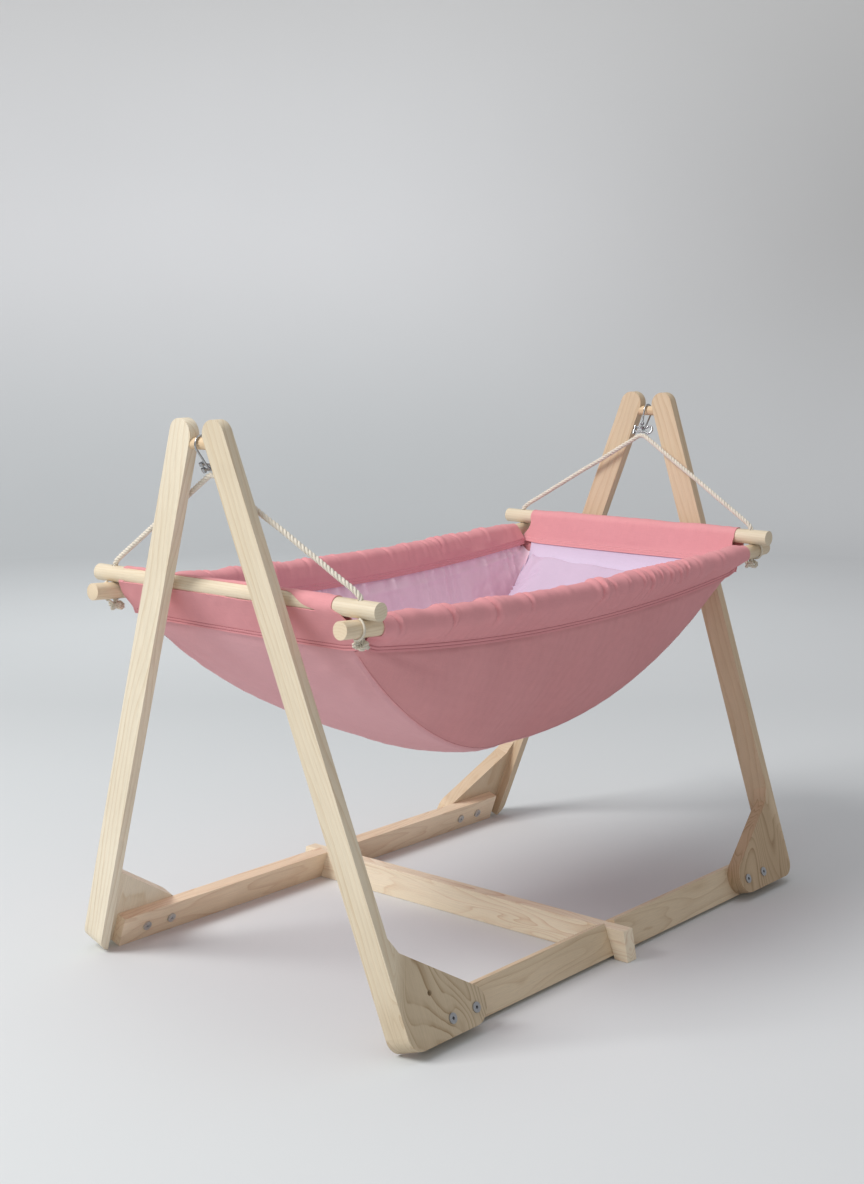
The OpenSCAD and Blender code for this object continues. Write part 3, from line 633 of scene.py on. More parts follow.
def stitch_parts(path, normals, gap=3.7, length=3.0, r=0.5):
    """Short raised stitches along a row; each is a small capsule that dips into the cloth at both ends."""
    path = np.asarray(path, float)
    s = np.concatenate([[0], np.cumsum(np.linalg.norm(np.diff(path, axis=0), axis=1))])
    k = int(s[-1] / gap)
    parts = []
    w = np.array([-0.5, -0.36, 0.0, 0.36, 0.5])
    lift = np.array([-0.25, 0.28, 0.5, 0.28, -0.25])
    rad = np.array([0.3, 0.85, 1.0, 0.85, 0.3]) * r
    ang = np.linspace(0, 2 * math.pi, 5, endpoint=False)
    idx = np.arange(25).reshape(5, 5)
    nxt = np.roll(idx, -1, axis=1)
    quad = np.stack([idx[:-1], nxt[:-1], nxt[1:], idx[1:]], axis=2).reshape(-1, 4).tolist() + [idx[0][::-1].tolist(), idx[-1].tolist()]
    for i in range(k):
        c = (i + 0.5) * gap
        at = np.array([[np.interp(c + v * length, s, path[:, q]) for q in range(3)] for v in w])
        nn = unit(np.array([np.interp(c, s, normals[:, q]) for q in range(3)]))
        tt = unit(at[-1] - at[0])
        bb = np.cross(tt, nn)
        at = at + nn * lift[:, None]
        pts = at[:, None] + rad[:, None, None] * (nn * np.cos(ang)[None, :, None] + bb * np.sin(ang)[None, :, None])
        parts.append((pts.reshape(-1, 3), quad))
    return parts


bands = {}
seams = {}
P, N = strip_grid(SHELL)
strip = cloth_sheet("sling_strip", oriented(P, np.array([0, 0, -1.0])), 1.2)
paint(strip, SALMON_STRIP)
sides = {}
for s, word in ((-1, "right"), (1, "left")):
    P, N, down = side_grid(s, SHELL)
    o = cloth_sheet(f"sling_{word}_side", oriented(P, N), 1.2)
    paint(o, SALMON_PANEL)
    sides[word] = o
    path = np.array([[np.interp(4.6, down[i], P[i, :, q]) for q in range(3)] for i in range(2, P.shape[0] - 2)])
    nn = np.array([[np.interp(4.6, down[i], N[i, :, q]) for q in range(3)] for i in range(2, P.shape[0] - 2)])
    st = joined(f"sling_{word}_seam_stitches", stitch_parts(path, nn, 3.6, 2.6, 0.34))
    paint(st, THREAD)
    seams[st.name] = st
P, N = strip_grid(LINER)
liner_strip = cloth_sheet("liner_strip", oriented(P, np.array([0, 0, -1.0])), 0.9)
paint(liner_strip, LILAC)
liner_sides = {}
for s, word in ((-1, "right"), (1, "left")):
    P, N, _ = side_grid(s, LINER)
    o = cloth_sheet(f"liner_{word}_side", oriented(P, N), 0.9)
    paint(o, LILAC_SIDE)
    liner_sides[word] = o

# ------------------------------------------------------------------ bands round the rods
BOTTOM = np.array([0, 1.1, 2.3, 3.5, 4.7, 6.0, 7.3, 8.5, 9.7, 11.2])
R_BAND = 16.6


def lerp_rows(a, b, n):
    """n rows strictly between the points a and b."""
    w = (np.arange(1, n + 1) / (n + 1))[:, None]
    return (1 - w) * a + w * b


def loop_profile(a0, a1, b1, b0, c, r, n1=10, n2=26, n3=8):
    """Band round a rod, seen along it: from the outer lower edge a0 by a1, over the rod, to b1 and the inner lower edge
    b0. Points are (outwards, up)."""
    a0, a1, b1, b0, c = (np.asarray(v, float) for v in (a0, a1, b1, b0, c))
    da = (a1 - a0) / np.linalg.norm(a1 - a0); db = (b1 - b0) / np.linalg.norm(b1 - b0)
    low_a = a0 + BOTTOM[:, None] * da
    low_b = (b0 + BOTTOM[:, None] * db)[::-1]
    def touch(p, turn):
        d = c - p
        L = np.linalg.norm(d)
        ang = math.atan2(d[1], d[0]) + turn * math.asin(min(0.99, r / L))
        return p + math.sqrt(max(1e-6, L * L - r * r)) * np.array([math.cos(ang), math.sin(ang)])
    ta, tb = touch(low_a[-1], -1), touch(low_b[0], 1)
    f0 = math.atan2(*(ta - c)[::-1]); f1 = math.atan2(*(tb - c)[::-1])
    while f1 < f0:
        f1 += 2 * math.pi
    f = np.linspace(f0, f1, n2)
    arc = c + r * np.stack([np.cos(f), np.sin(f)], axis=1)
    return np.concatenate([low_a, lerp_rows(low_a[-1], arc[0], n1), arc, lerp_rows(arc[-1], low_b[0], n3), low_b])


NB = len(BOTTOM)
ROWS = NB + 10 + 26 + 8 + NB
ARC0, ARC1 = NB + 10, NB + 36


RIGHT_FOLDS = [(-439, 1.6, 5), (-331, 2.2, 6), (-318, 1.2, 4), (-234, 3.0, 7), (-150, 1.0, 5), (29, 4.2, 8), (58, 1.2, 4), (96, 1.0, 4), (132, 2.6, 5), (156, 3.8, 6),
               (184, 1.3, 4), (211, 2.8, 5), (236, 2.2, 5), (264, 1.8, 5), (300, 1.0, 5), (372, 0.9, 6)]
LEFT_FOLDS = [(-400, 1.2, 6), (-323, 2.0, 6), (-250, 1.2, 5), (-184, 2.6, 6), (-160, 1.6, 5), (-97, 2.2, 6), (-60, 1.2, 5), (-36, 1.6, 5), (30, 1.4, 6), (90, 1.8, 6),
              (150, 1.4, 5), (195, 2.4, 6), (214, 1.8, 5), (238, 2.8, 6), (275, 2.6, 6), (320, 2.2, 6), (365, 2.0, 6), (427, 1.2, 6)]


def hem_grid(s, folds, inner_side, seed, n=300):
    u = np.linspace(-1, 1, n)
    j = np.arange(ROWS)
    reach = np.where(j < NB, 468.5, 463.5)
    w1 = smooth(NB - 1, ARC0 - 1, j); reach = np.where((j >= NB) & (j < ARC0), 468.5 + (463.5 - 468.5) * w1, reach)
    reach = np.where((j >= ARC0) & (j < ARC1), 463.5, reach)
    w2 = smooth(ARC1, ARC1 + 8, j); reach = np.where((j >= ARC1) & (j < ARC1 + 8), 463.5 + 1.5 * w2, reach)
    reach = np.where(j >= ARC1 + 8, 465.0, reach)
    P = np.empty((n, ROWS, 3))
    for i in range(n):
        xs = u[i] * 465.0
        zo, zi = z_out(xs) - 5, z_in(xs) - 5
        ya0, ya1 = skin_y(xs, np.array([zo, zo + 9]))
        yb0, yb1 = skin_y(xs, np.array([zi, zi + 9]))
        prof = loop_profile((ya0 + 3.8, zo), (ya1 + 4.4, zo + 9), (yb1 - 10.0, zi + 9), (yb0 - 9.4, zi), (249, rod_z(xs)), 14.4 + (R_BAND - 14.4) * smooth(466, 432, abs(xs)))
        # at the corners the part below the rod draws in to the corner of the sling
        w = smooth(424, 464, abs(xs))
        low = prof[:ARC0]
        wrow = 1 - smooth(NB + 5, ARC0 + 1, np.arange(ARC0))
        low[:, 0] += w * wrow * ((232.0 + 0.09 * (low[:, 1] - 530)) - low[:, 0])
        P[i, :, 0] = u[i] * reach
        P[i, :, 1] = s * prof[:, 0]
        P[i, :, 2] = prof[:, 1]
    N = grid_normals(P)
    ref = P - np.stack([P[..., 0], np.full(P.shape[:2], s * 249.0), rod_z(P[..., 0])], axis=2)
    if (N[:, ARC0:ARC1] * ref[:, ARC0:ARC1]).sum() < 0:
        N = -N
    X = P[..., 0]
    step = np.linalg.norm(np.diff(P, axis=1), axis=2)
    arc = np.concatenate([np.zeros((n, 1)), np.cumsum(step, axis=1)], axis=1)
    total = arc[:, -1:]
    up_out, up_in = arc, total - arc
    mid = arc[:, (ARC0 + ARC1) // 2][:, None]
    side = (arc - mid)                                  # negative on the outer side
    onrod = smooth(0, 14, up_out - 12) * smooth(0, 12, up_in - 12)
    amp = 1.0 * ripples(X, side * 0.4, 10, 45, 170, seed) * onrod
    amp += 0.24 * ripples(X, side * 0.3, 12, 15, 42, seed + 1, 1.6) * onrod
    amp += 1.7 * onrod
    end = smooth(466, 436, np.abs(X))
    amp *= end
    for k, (x0, deep, wide) in enumerate(folds):
        r = rng(seed * 31 + k)
        lean = r.uniform(-0.35, 0.35)
        centre = -4 if not inner_side else 10
        reachd = r.uniform(17, 27)
        run = side * (-1 if not inner_side else 1)
        along = run + centre
        narrow = 0.45 + 0.55 * np.exp(-np.maximum(0, along) / 16)
        prof = np.exp(-((X - x0 - lean * along) / (wide * 0.68 * narrow)) ** 2)
        ridge = np.exp(-((X - x0 - lean * along - wide * 1.15) / (wide * 0.8)) ** 2) + np.exp(-((X - x0 - lean * along + wide * 1.15) / (wide * 0.8)) ** 2)
        envelope = np.exp(-np.maximum(0, along - 8) / reachd * 1.3) * smooth(-34, -12, along)
        amp += ((-2.2 if not inner_side else -2.6) * deep * prof + (1.5 if not inner_side else 1.6) * deep * ridge) * envelope * onrod * end
    amp[:, ARC0:ARC1] = np.maximum(amp[:, ARC0:ARC1], (14.5 - R_BAND) * smooth(466, 432, np.abs(X[:, ARC0:ARC1])))
    amp = np.maximum(amp, -2.1)
    # small gathers held by the stitch rows
    g1 = np.sin(X / 2.1 + 2.2 * np.sin(X / 17.0 + seed))
    for up in (up_out, up_in):
        amp += 0.30 * g1 * np.exp(-((up - 13) / 7.0) ** 2)
        # doubled edge, pulled in along both rows
        amp += 0.35 * smooth(12.5, 10, up)
        for row in (3.5, 8.5):
            amp -= 0.95 * np.exp(-((up - row) / 1.25) ** 2)
    amp = np.minimum(amp, 5.2)
    return P + N * amp[..., None], N, arc


def sleeve_grid(e, seed, n=170):
    """End band. Counted from -y to +y."""
    ends = {-1: (206.0, 222.0), 1: (222.0, 219.0)}[e]
    j = np.arange(ROWS)
    def extent(v):
        low = np.where(j < NB, 234.0, v)
        k = smooth(ARC0 - 6, ARC0 + 4, j); low = np.where((j >= NB) & (j < ARC0 + 4), 234.0 + (v - 234.0) * k, low)
        k = smooth(ARC1, ARC1 + 8, j); bulge = np.sin(np.clip((j - ARC1) / 8, 0, 1) * math.pi) * -5
        low = np.where((j >= ARC1) & (j < ARC1 + 8), v + (231.0 - v) * k + bulge, low)
        return np.where(j >= ARC1 + 8, 231.0, low)
    right, left = extent(ends[0]), extent(ends[1])
    u = np.linspace(0, 1, n)
    prof = loop_profile((465.2 + 3.0, 533.0), (469.2 + 3.0, 542.0), (478.0 - 7.0, 562.0), (474.0 - 7.0, 552.0), (492, 597), 14.5)
    P = np.empty((n, ROWS, 3))
    P[..., 1] = -right[None] * (1 - u[:, None]) + left[None] * u[:, None]
    P[..., 0] = e * prof[None, :, 0]
    P[..., 2] = prof[None, :, 1]
    # the lower edges sag a little between the corners
    Y = P[..., 1]
    near_edge = 1 - smooth(0, 34, np.abs(P[..., 2] - 540))
    P[..., 2] += (4.5 * smooth(190, 234, np.abs(Y)) - 2.0 * (1 - (Y / 234) ** 2)) * near_edge
    N = grid_normals(P)
    ref = P - np.stack([np.full(P.shape[:2], e * 492.0), Y, np.full(P.shape[:2], 597.0)], axis=2)
    if (N[:, ARC0:ARC1] * ref[:, ARC0:ARC1]).sum() < 0:
        N = -N
    step = np.linalg.norm(np.diff(P, axis=1), axis=2)
    arc = np.concatenate([np.zeros((n, 1)), np.cumsum(step, axis=1)], axis=1)
    up_out, up_in = arc, arc[:, -1:] - arc
    side = arc - arc[:, (ARC0 + ARC1) // 2][:, None]
    onrod = smooth(0, 14, up_out - 12) * smooth(0, 12, up_in - 12)
    amp = 0.45 * ripples(Y, side * 0.5, 9, 70, 220, seed) * onrod + 0.16 * ripples(Y, side, 9, 15, 40, seed + 1) * onrod
    g1 = np.sin(Y / 2.3 + 2.0 * np.sin(Y / 19.0 + seed))
    for up in (up_out, up_in):
        amp += 0.14 * g1 * np.exp(-((up - 13) / 6.0) ** 2)
        amp += 0.35 * smooth(12.5, 10, up)
        for row in (3.5, 8.5):
            amp -= 0.75 * np.exp(-((up - row) / 1.25) ** 2)
    return P + N * amp[..., None], N, arc


for s, word, folds, inner_side, seed in ((-1, "right", RIGHT_FOLDS, False, 7), (1, "left", LEFT_FOLDS, True, 8)):
    P, N, arc = hem_grid(s, folds, inner_side, seed)
    Q, M = (P, N) if (grid_normals(P) * N).sum() > 0 else (P[::-1], N[::-1])
    o = cloth_sheet(f"{word}_hem_band", Q, 1.5, normals=M)
    paint(o, SALMON)
    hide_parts(f"{word}_side_hem")
    bands[word] = o
    for rows, side_word, mat in (((3, 7), "outer", THREAD), ((ROWS - 4, ROWS - 8), "inner", THREAD_IN)):
        parts = []
        for row in rows:
            parts += stitch_parts(P[2:-2, row], N[2:-2, row])
        st = joined(f"{word}_hem_{side_word}_stitches", parts)
        paint(st, mat)
        seams[st.name] = st
for e, word, seed in ((-1, "near", 17), (1, "far", 18)):
    P, N, arc = sleeve_grid(e, seed)
    keep = None
    if e < 0:
        # the near band is open over the rod: its free edge runs slanting over the rod at the right end
        Y = P[:, ARC0, 1]
        first, last = ARC0 + 1, ARC0 + 12.6
        edge = first + (last - first) * smooth(-180, -118, Y)
        rows = np.arange(ROWS)
        base = P.copy(); nb = N.copy()
        for i in range(P.shape[0]):
            src = np.arange(ROWS, dtype=float)
            k = max(first, edge[i])
            src[first:] = k + (np.arange(first, ROWS) - first) * (ROWS - 1 - k) / (ROWS - 1 - first)
            for q in range(3):
                P[i, :, q] = np.interp(src, rows, base[i, :, q])
                N[i, :, q] = np.interp(src, rows, nb[i, :, q])
        N = unit(N)
        # the free edge lies on the rod
        press = np.exp(-((np.arange(ROWS)[None] - first) / 3.5) ** 2) * (np.arange(ROWS)[None] >= first) * smooth(-182, -164, P[:, :, 1])
        out = P - np.stack([np.full(P.shape[:2], e * 492.0), P[..., 1], np.full(P.shape[:2], 597.0)], axis=2)
        far = np.linalg.norm(out, axis=2, keepdims=True)
        P += out / far * ((13.5 - far) * press[..., None])
        keep = np.ones((P.shape[0] - 1, ROWS - 1), bool)
        open_at = (edge[:-1] > first + 0.02) & (Y[:-1] < 214)
        keep[open_at, first - 1] = False
    flip = (grid_normals(P) * N).sum() < 0
    Q, M = (P[::-1], N[::-1]) if flip else (P, N)
    if keep is not None and flip:
        keep = keep[::-1]
    o = cloth_sheet(f"{word}_end_band", Q, 1.5, keep=keep, normals=M)
    paint(o, SALMON)
    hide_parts(f"{word}_end_sleeve")
    bands[word] = o
    for rows, side_word, mat in (((3, 7), "outer", THREAD), ((ROWS - 4, ROWS - 8), "inner", THREAD_IN)):
        if e < 0 and side_word == "inner":
            arc = np.concatenate([np.zeros((P.shape[0], 1)), np.cumsum(np.linalg.norm(np.diff(P, axis=1), axis=2), axis=1)], axis=1)
        parts = []
        for row in rows:
            if e < 0 and side_word == "inner":
                want = arc[:, -1] - (3.5 if row == ROWS - 4 else 8.5)
                path = np.array([[np.interp(want[i], arc[i], P[i, :, q]) for q in range(3)] for i in range(P.shape[0])])
                nn = np.array([[np.interp(want[i], arc[i], N[i, :, q]) for q in range(3)] for i in range(P.shape[0])])
                parts += stitch_parts(path[2:-2], nn[2:-2])
            else:
                parts += stitch_parts(P[2:-2, row], N[2:-2, row])
        st = joined(f"{word}_band_{side_word}_stitches", parts)
        paint(st, mat)
        seams[st.name] = st

# ------------------------------------------------------------------ mattress
PAD_FROM, PAD_TO = -0.82, 0.928


def skin_point(p, q):
    a = np.abs(q)
    s = np.where(q < 0, -1.0, 1.0)
    ys = seam_y(p)
    in_strip = a <= STRIP_Q
    k = np.clip(a / STRIP_Q, 0, 1)
    y1, z1 = ys * k, strip_z(p) + 20 * fall(p) * k ** 2
    y2, z2 = side_yz(p, np.clip((a - STRIP_Q) / (1 - STRIP_Q), 0, 1))
    return np.stack([494 * p + 0 * q, s * np.where(in_strip, y1, y2), np.where(in_strip, z1, z2)], axis=-1)


def inward(p, q):
    h = 0.012
    return -unit(np.cross(skin_point(p, q + h) - skin_point(p, q - h), skin_point(p + h, q) - skin_point(p - h, q)))


def pad_q(p):
    ys = seam_y(p)
    L = np.hypot(232 - ys, edge_z(p) - seam_z(p))
    return np.where(198 < ys, STRIP_Q * 198 / ys, STRIP_Q + (1 - STRIP_Q) * (198 - ys) / L)


def pad_mesh(name, grow=0.0, n=96, m=44):
    v = np.linspace(-1, 1, m)[None]
    w = np.linspace(0, 1, n)[:, None]
    p = PAD_FROM + 0.004 + (PAD_TO - PAD_FROM - 0.008 + 0.019 * v * np.abs(v)) * w
    q = pad_q(p) * v * 0.985
    pp = p + 0 * q
    high = 11.0 + (46 - grow) * (1 - 0.45 * (np.abs(p - 0.02) / 0.86) ** 4) * (1 - 0.45 * np.abs(v) ** 5)
    nrm = inward(pp, q)
    base = skin_point(pp, q)
    low = base + nrm * 10.5
    top = base + nrm * (high + 0 * q)[..., None]
    rows = [0.25, 0.5, 0.75]
    idx_low = np.arange(n * m).reshape(n, m)
    idx_top = idx_low + n * m
    quads = np.stack([idx_low[:-1, :-1], idx_low[:-1, 1:], idx_low[1:, 1:], idx_low[1:, :-1]], axis=2).reshape(-1, 4).tolist()
    quads += np.stack([idx_top[:-1, :-1], idx_top[1:, :-1], idx_top[1:, 1:], idx_top[:-1, 1:]], axis=2).reshape(-1, 4).tolist()
    def wall(a, b):
        return [[int(a[i]), int(a[i + 1]), int(b[i + 1]), int(b[i])] for i in range(len(a) - 1)]
    quads += [f[::-1] for f in wall(idx_low[:, 0], idx_top[:, 0])] + wall(idx_low[:, -1], idx_top[:, -1])
    quads += wall(idx_low[0], idx_top[0]) + [f[::-1] for f in wall(idx_low[-1], idx_top[-1])]
    ob = make_mesh(name, np.concatenate([low.reshape(-1, 3), top.reshape(-1, 3)]), quads, None, 0)
    bm = bmesh.new(); bm.from_mesh(ob.data)
    bmesh.ops.recalc_face_normals(bm, faces=bm.faces)
    if bm.calc_volume(signed=True) < 0:
        bmesh.ops.reverse_faces(bm, faces=bm.faces)
    bm.to_mesh(ob.data); bm.free()
    return ob


def apply_all(ob):
    """The object's mesh with its modifiers applied."""
    deps = bpy.context.evaluated_depsgraph_get()
    deps.update()
    me = bpy.data.meshes.new_from_object(ob.evaluated_get(deps))
    old = ob.data
    ob.modifiers.clear()
    ob.data = me
    bpy.data.meshes.remove(old)


def coords(ob):
    a = np.empty(len(ob.data.vertices) * 3)
    ob.data.vertices.foreach_get("co", a)
    return a.reshape(-1, 3)


pad = pad_mesh("mattress", grow=5.0)
r = pad.modifiers.new("even", "REMESH"); r.mode = "VOXEL"; r.voxel_size = 0.0055; r.use_smooth_shade = True
apply_all(pad)
before = coords(pad)
c = pad.modifiers.new("stuffed", "CLOTH")
st = c.settings
st.quality = 5; st.mass = 0.3
st.tension_stiffness = 18; st.compression_stiffness = 18; st.shear_stiffness = 6; st.bending_stiffness = 2.0
st.use_pressure = True; st.uniform_pressure_force = 3.5
st.effector_weights.gravity = 0.0
c.collision_settings.use_collision = False
c.point_cache.frame_start = 1; c.point_cache.frame_end = 20
for f in range(1, 21):
    scene.frame_set(f)
apply_all(pad)
after = coords(pad)
scene.frame_set(1)
move = (after - before) * 1000
nrm = np.empty(len(pad.data.vertices) * 3); pad.data.vertices.foreach_get("normal", nrm); nrm = nrm.reshape(-1, 3)
down = smooth(0.1, -0.5, nrm[:, 2])                  # on the side that lies on the sling
size = np.linalg.norm(move, axis=1)
cap = 11.0 * (1 - down) + 1.4 * down
# sideways growth is held too, so the pad stays off the lining
cap = np.minimum(cap, 11.0 - 8.0 * smooth(0.35, 0.85, np.abs(nrm[:, 1])))
move *= (np.minimum(size, cap) / np.maximum(size, 1e-6))[:, None]
pad.data.vertices.foreach_set("co", (before + move * 0.001).ravel())
pad.data.update()
sm = pad.modifiers.new("soft", "SMOOTH"); sm.factor = 0.5; sm.iterations = 4
apply_all(pad)
co = coords(pad) * 1000
nrm = np.empty(len(pad.data.vertices) * 3); pad.data.vertices.foreach_get("normal", nrm); nrm = nrm.reshape(-1, 3)
upw = smooth(0.2, 0.7, nrm[:, 2])
amp = upw * (0.8 * ripples(co[:, 0], co[:, 1], 9, 80, 260, 301) + 0.2 * ripples(co[:, 0], co[:, 1], 9, 18, 46, 302))
co += nrm * amp[:, None]
pad.data.vertices.foreach_set("co", (co * 0.001).ravel())
sub = pad.modifiers.new("fine", "SUBSURF"); sub.levels = 1; sub.render_levels = 1
apply_all(pad)
pad.data.polygons.foreach_set("use_smooth", np.ones(len(pad.data.polygons), bool))
paint(pad, LILAC_PAD)
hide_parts("mattress_pad")
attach(pad, "cradle")

# ------------------------------------------------------------------ ropes
ROPE_HALF = [(248, 492, 556), (248, 492, 575), (248, 492, 598), (247, 492, 610), (242, 493, 617), (232, 494, 624), (210, 497, 637),
             (180, 500, 655), (150, 504, 673), (120, 507, 691), (90, 511, 708), (60, 514, 726), (35, 517, 741), (18, 519, 751), (8, 520, 757), (0, 520, 759)]


def laid_rope(name, path, d, pitch, phase=0.0, strands=3, yarns=6, step=1.5, sides=16):
    """Rope of three strands, each with the small lobes of its own yarns."""
    path = resampled(path, step)
    k = len(path)
    _, _, (A, B, T) = sweep(path, 1.0, 4, False)
    s = np.concatenate([[0], np.cumsum(np.linalg.norm(np.diff(path, axis=0), axis=1))])
    rs = d * 0.226
    ro = d / 2 - rs
    parts = []
    ang = np.linspace(0, 2 * math.pi, sides, endpoint=False)
    for q in range(strands):
        a = phase + 2 * math.pi * (q / strands + s / pitch)
        out = A * np.cos(a)[:, None] + B * np.sin(a)[:, None]
        centre = path + ro * out
        tang = unit(np.gradient(centre, axis=0))
        u = unit(out - tang * (out * tang).sum(1, keepdims=True))
        v = np.cross(tang, u)
        twist = -2 * math.pi * s / (pitch * 0.62)
        rad = rs * (1.0 + 0.085 * np.cos(yarns * ang[None] + yarns * twist[:, None] / 2))
        pts = centre[:, None] + rad[..., None] * (u[:, None] * np.cos(ang)[None, :, None] * 1.0 + v[:, None] * np.sin(ang)[None, :, None] * 1.12)
        idx = np.arange(k * sides).reshape(k, sides)
        nxt = np.roll(idx, -1, axis=1)
        faces = np.stack([idx[:-1], nxt[:-1], nxt[1:], idx[1:]], axis=2).reshape(-1, 4).tolist() + [idx[0][::-1].tolist(), idx[-1].tolist()]
        parts.append((pts.reshape(-1, 3), faces))
    return joined(name, parts, 60)


for e, word in ((-1, "near"), (1, "far")):
    route = [(e * x, y, z) for y, x, z in ROPE_HALF] + [(e * x, -y, z) for y, x, z in ROPE_HALF[-2::-1]]
    path = curve_through(route, 6)
    o = laid_rope(f"{word}_laid_rope", path, 8.2, 21.0, phase=0.7 * e, step=1.2)
    paint(o, ROPE)
    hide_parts(f"{word}_rope")
    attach(o, "cradle")
    for s, hand in ((-1, "right"), (1, "left")):
        t = np.linspace(0.55, 2 * math.pi - 0.45, 70)
        kx = np.sin(t) + 2 * np.sin(2 * t)
        ky = np.cos(t) - 2 * np.cos(2 * t)
        kz = -np.sin(3 * t)
        top = 559.2
        turn = 0.9 + 0.8 * s + 0.5 * e
        K = np.stack([3.4 * (kx * math.cos(turn) - ky * math.sin(turn)), 3.4 * (kx * math.sin(turn) + ky * math.cos(turn)), 3.6 * kz - 9.8], axis=1)
        lead = np.array([[0, 0, -1.0], [0, 0, -3.0]])
        tail_dir = unit(K[-1] * [1, 1, 0])
        tail = K[-1] + np.outer([1.0, 2.4], tail_dir * 2.2 + [0, 0, -0.6])
        path = curve_through(np.concatenate([lead, K[::5], K[-1:], tail]), 8) + [e * 492, s * 248, top]
        path[:, 2] = np.minimum(path[:, 2], top - 0.6)
        o = laid_rope(f"{word}_{hand}_rope_knot", path, 6.2, 17.0, phase=1.1 * s, sides=12, step=1.2)
        rc = rod_z(503.0)
        turn_a = np.radians(np.linspace(72, -98, 12))
        tie = [(e * (502 + 0.25 * k), s * (249 + 14.5 * math.cos(w)), rc + 14.5 * math.sin(w)) for k, w in enumerate(turn_a)]
        tie = curve_through(tie + [(e * 500, s * 247.5, 555.5), (e * 496, s * 248, 552)], 5)
        tp, tf, _ = sweep(resampled(tie, 1.5), 1.7, 10)
        tie_ob = joined("tie", [(tp, tf)], 60)
        with_tie = bmesh.new(); with_tie.from_mesh(o.data); with_tie.from_mesh(tie_ob.data); with_tie.to_mesh(o.data); with_tie.free()
        bpy.data.objects.remove(tie_ob)
        paint(o, ROPE_GREY)
        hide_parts(f"{word}_{hand}_knot")
        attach(o, "cradle")

# ------------------------------------------------------------------ riding on the cradle
everything = [("sling_strip", strip, "salmon_cotton"), ("liner_strip", liner_strip, "lilac_cotton")]
for w in ("right", "left"):
    everything += [(f"sling_{w}_side", sides[w], "salmon_cotton"), (f"liner_{w}_side", liner_sides[w], "lilac_cotton")]
for _, o, slot in everything:
    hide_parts("sling_shell" if slot == "salmon_cotton" else "sling_liner")
    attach(o, "cradle")
for w in ("right", "left"):
    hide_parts("sling_shell")
for o in list(bands.values()) + list(seams.values()):
    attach(o, "cradle")

# ------------------------------------------------------------------ floor, backdrop and light
def revolve(name, profile, sides=96):
    prof = np.asarray(profile, float)
    ang = np.linspace(0, 2 * math.pi, sides, endpoint=False)
    pts = np.stack([prof[:, None, 0] * np.cos(ang), prof[:, None, 0] * np.sin(ang), np.broadcast_to(prof[:, 1:2], (len(prof), sides))], axis=2)
    idx = np.arange(len(prof) * sides).reshape(len(prof), sides)
    nxt = np.roll(idx, -1, axis=1)
    faces = np.stack([idx[:-1], nxt[:-1], nxt[1:], idx[1:]], axis=2).reshape(-1, 4).tolist()
    return make_mesh(name, pts.reshape(-1, 3) * 1000, faces, None, 0)


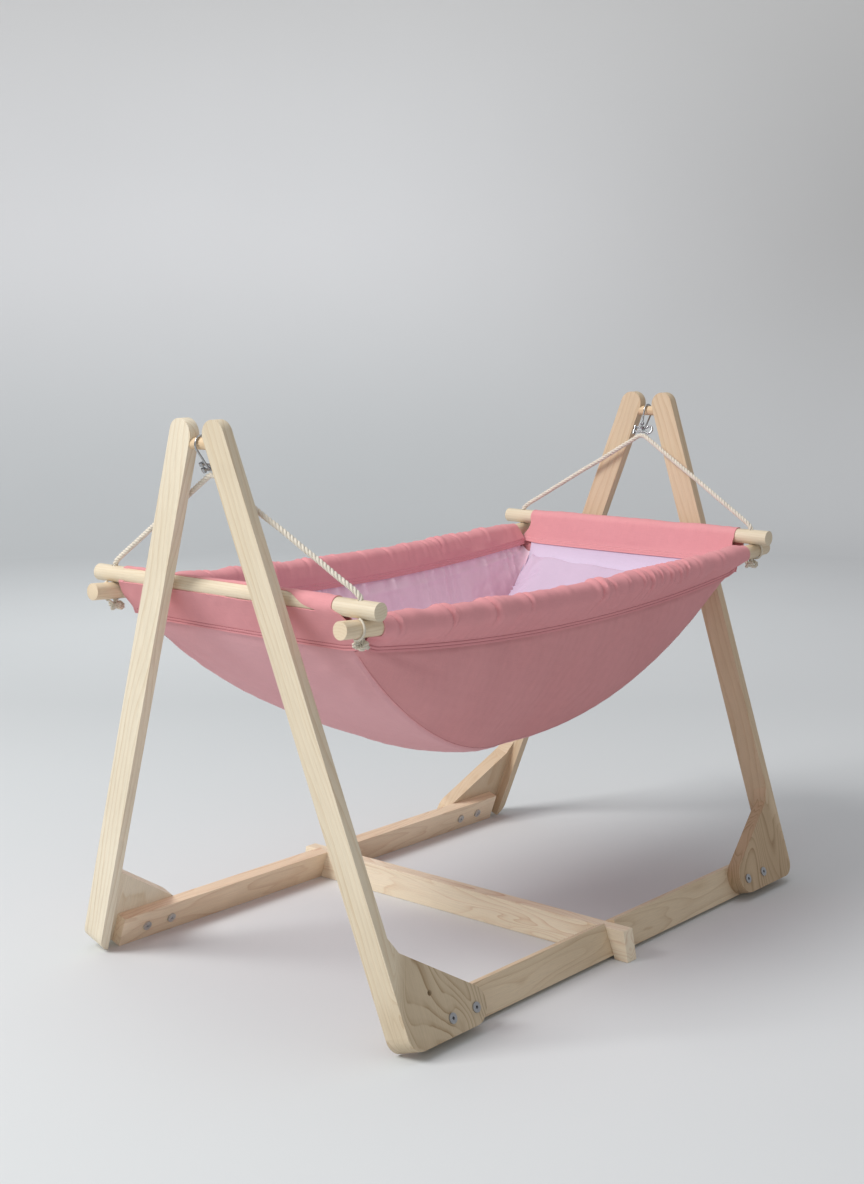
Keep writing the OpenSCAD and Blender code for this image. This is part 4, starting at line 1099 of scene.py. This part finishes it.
def backdrop(name):
    """Plain paper that runs up the wall, with painted shade that makes it dimmer towards one side of the studio."""
    m, t, b = blank(name)
    co = S(t, "TexCoord").outputs["Object"]
    n = noise_of(t, co, 1.2, 2.0)
    across = S(t, "VectorMath", {0: co, 1: (0.643, -0.766, -0.10)}, operation="DOT_PRODUCT").outputs["Value"]
    up = S(t, "SeparateXYZ", {0: co}).outputs[2]
    f = S(t, "MapRange", {"Value": across, "From Min": -0.8, "From Max": 2.6}, interpolation_type="SMOOTHSTEP").outputs[0]
    high = S(t, "MapRange", {"Value": up, "From Min": 0.02, "From Max": 1.5}, interpolation_type="SMOOTHSTEP").outputs[0]
    dim = S(t, "MapRange", {"Value": up, "From Min": 1.2, "From Max": 3.6}, interpolation_type="SMOOTHSTEP").outputs[0]
    low_col = mix(t, f, srgb(219, 223, 225), srgb(224, 226, 228))
    # painted shade: the wall goes from near white on one side to mid grey on the other and evens out higher up; the
    # floor part is almost even
    wall_painted_falloff = mix(t, f, srgb(249, 250, 252), srgb(203, 203, 203))
    wall_painted_falloff = mix(t, dim, wall_painted_falloff, srgb(226, 226, 225))
    col = mix(t, high, low_col, wall_painted_falloff)
    col = mix(t, 1.0, col, ramp(t, n, [(0.3, grey(0.985)), (0.7, grey(1.0))]), "MULTIPLY")
    t.links.new(col, b.inputs["Base Color"])
    b.inputs["Roughness"].default_value = 0.95
    b.inputs["Specular IOR Level"].default_value = 0.15
    return m


PAPER = backdrop("pale_paper")
floor = revolve("studio_floor", [(0.0001, 0), (0.5, 0), (1.5, 0), (3.0, 0), (4.6, 0)])
bend = [(4.6 + 1.8 * math.sin(a), 1.8 - 1.8 * math.cos(a)) for a in np.linspace(0, math.pi / 2, 20)] + [(6.4, 3.5), (6.4, 7.0)]
wall = revolve("studio_wall", bend)
for o in (floor, wall):
    paint(o, PAPER)
wall.visible_shadow = False
wall.visible_diffuse = False
wall.visible_glossy = False


def area(name, place, aim, size, power, colour=(1, 1, 1)):
    d = bpy.data.lights.new(name, "AREA")
    d.shape = "RECTANGLE"; d.size, d.size_y = size
    d.energy = power; d.color = colour
    o = bpy.data.objects.new(name, d)
    COLL.objects.link(o)
    o.location = place
    from mathutils import Vector
    o.rotation_euler = (Vector(aim) - Vector(place)).to_track_quat("-Z", "Y").to_euler()
    return o


area("key", (-3.6, 1.9, 4.2), (0, 0, 0.35), (2.3, 2.3), 222, (1.0, 0.99, 0.97))
area("top", (0.3, 0.2, 4.6), (0, 0, 0.3), (3.2, 3.2), 34, (1.0, 1.0, 1.0))
area("fill", (-3.1, -2.3, 1.6), (-0.4, 0, 0.25), (2.0, 2.0), 8, (1.0, 0.985, 0.97))
area("backdrop", (1.3, 1.9, 2.2), (4.4, 4.5, 1.0), (2.0, 1.4), 22, (1.0, 1.0, 1.0))
world = bpy.data.worlds.new("studio_air")
scene.world = world
world.use_nodes = True
bg = world.node_tree.nodes.get("Background") or world.node_tree.nodes.new("ShaderNodeBackground")
bg.inputs[0].default_value = (0.975, 0.98, 1.0, 1)
bg.inputs[1].default_value = 0.355
scene.view_settings.view_transform = "Standard"
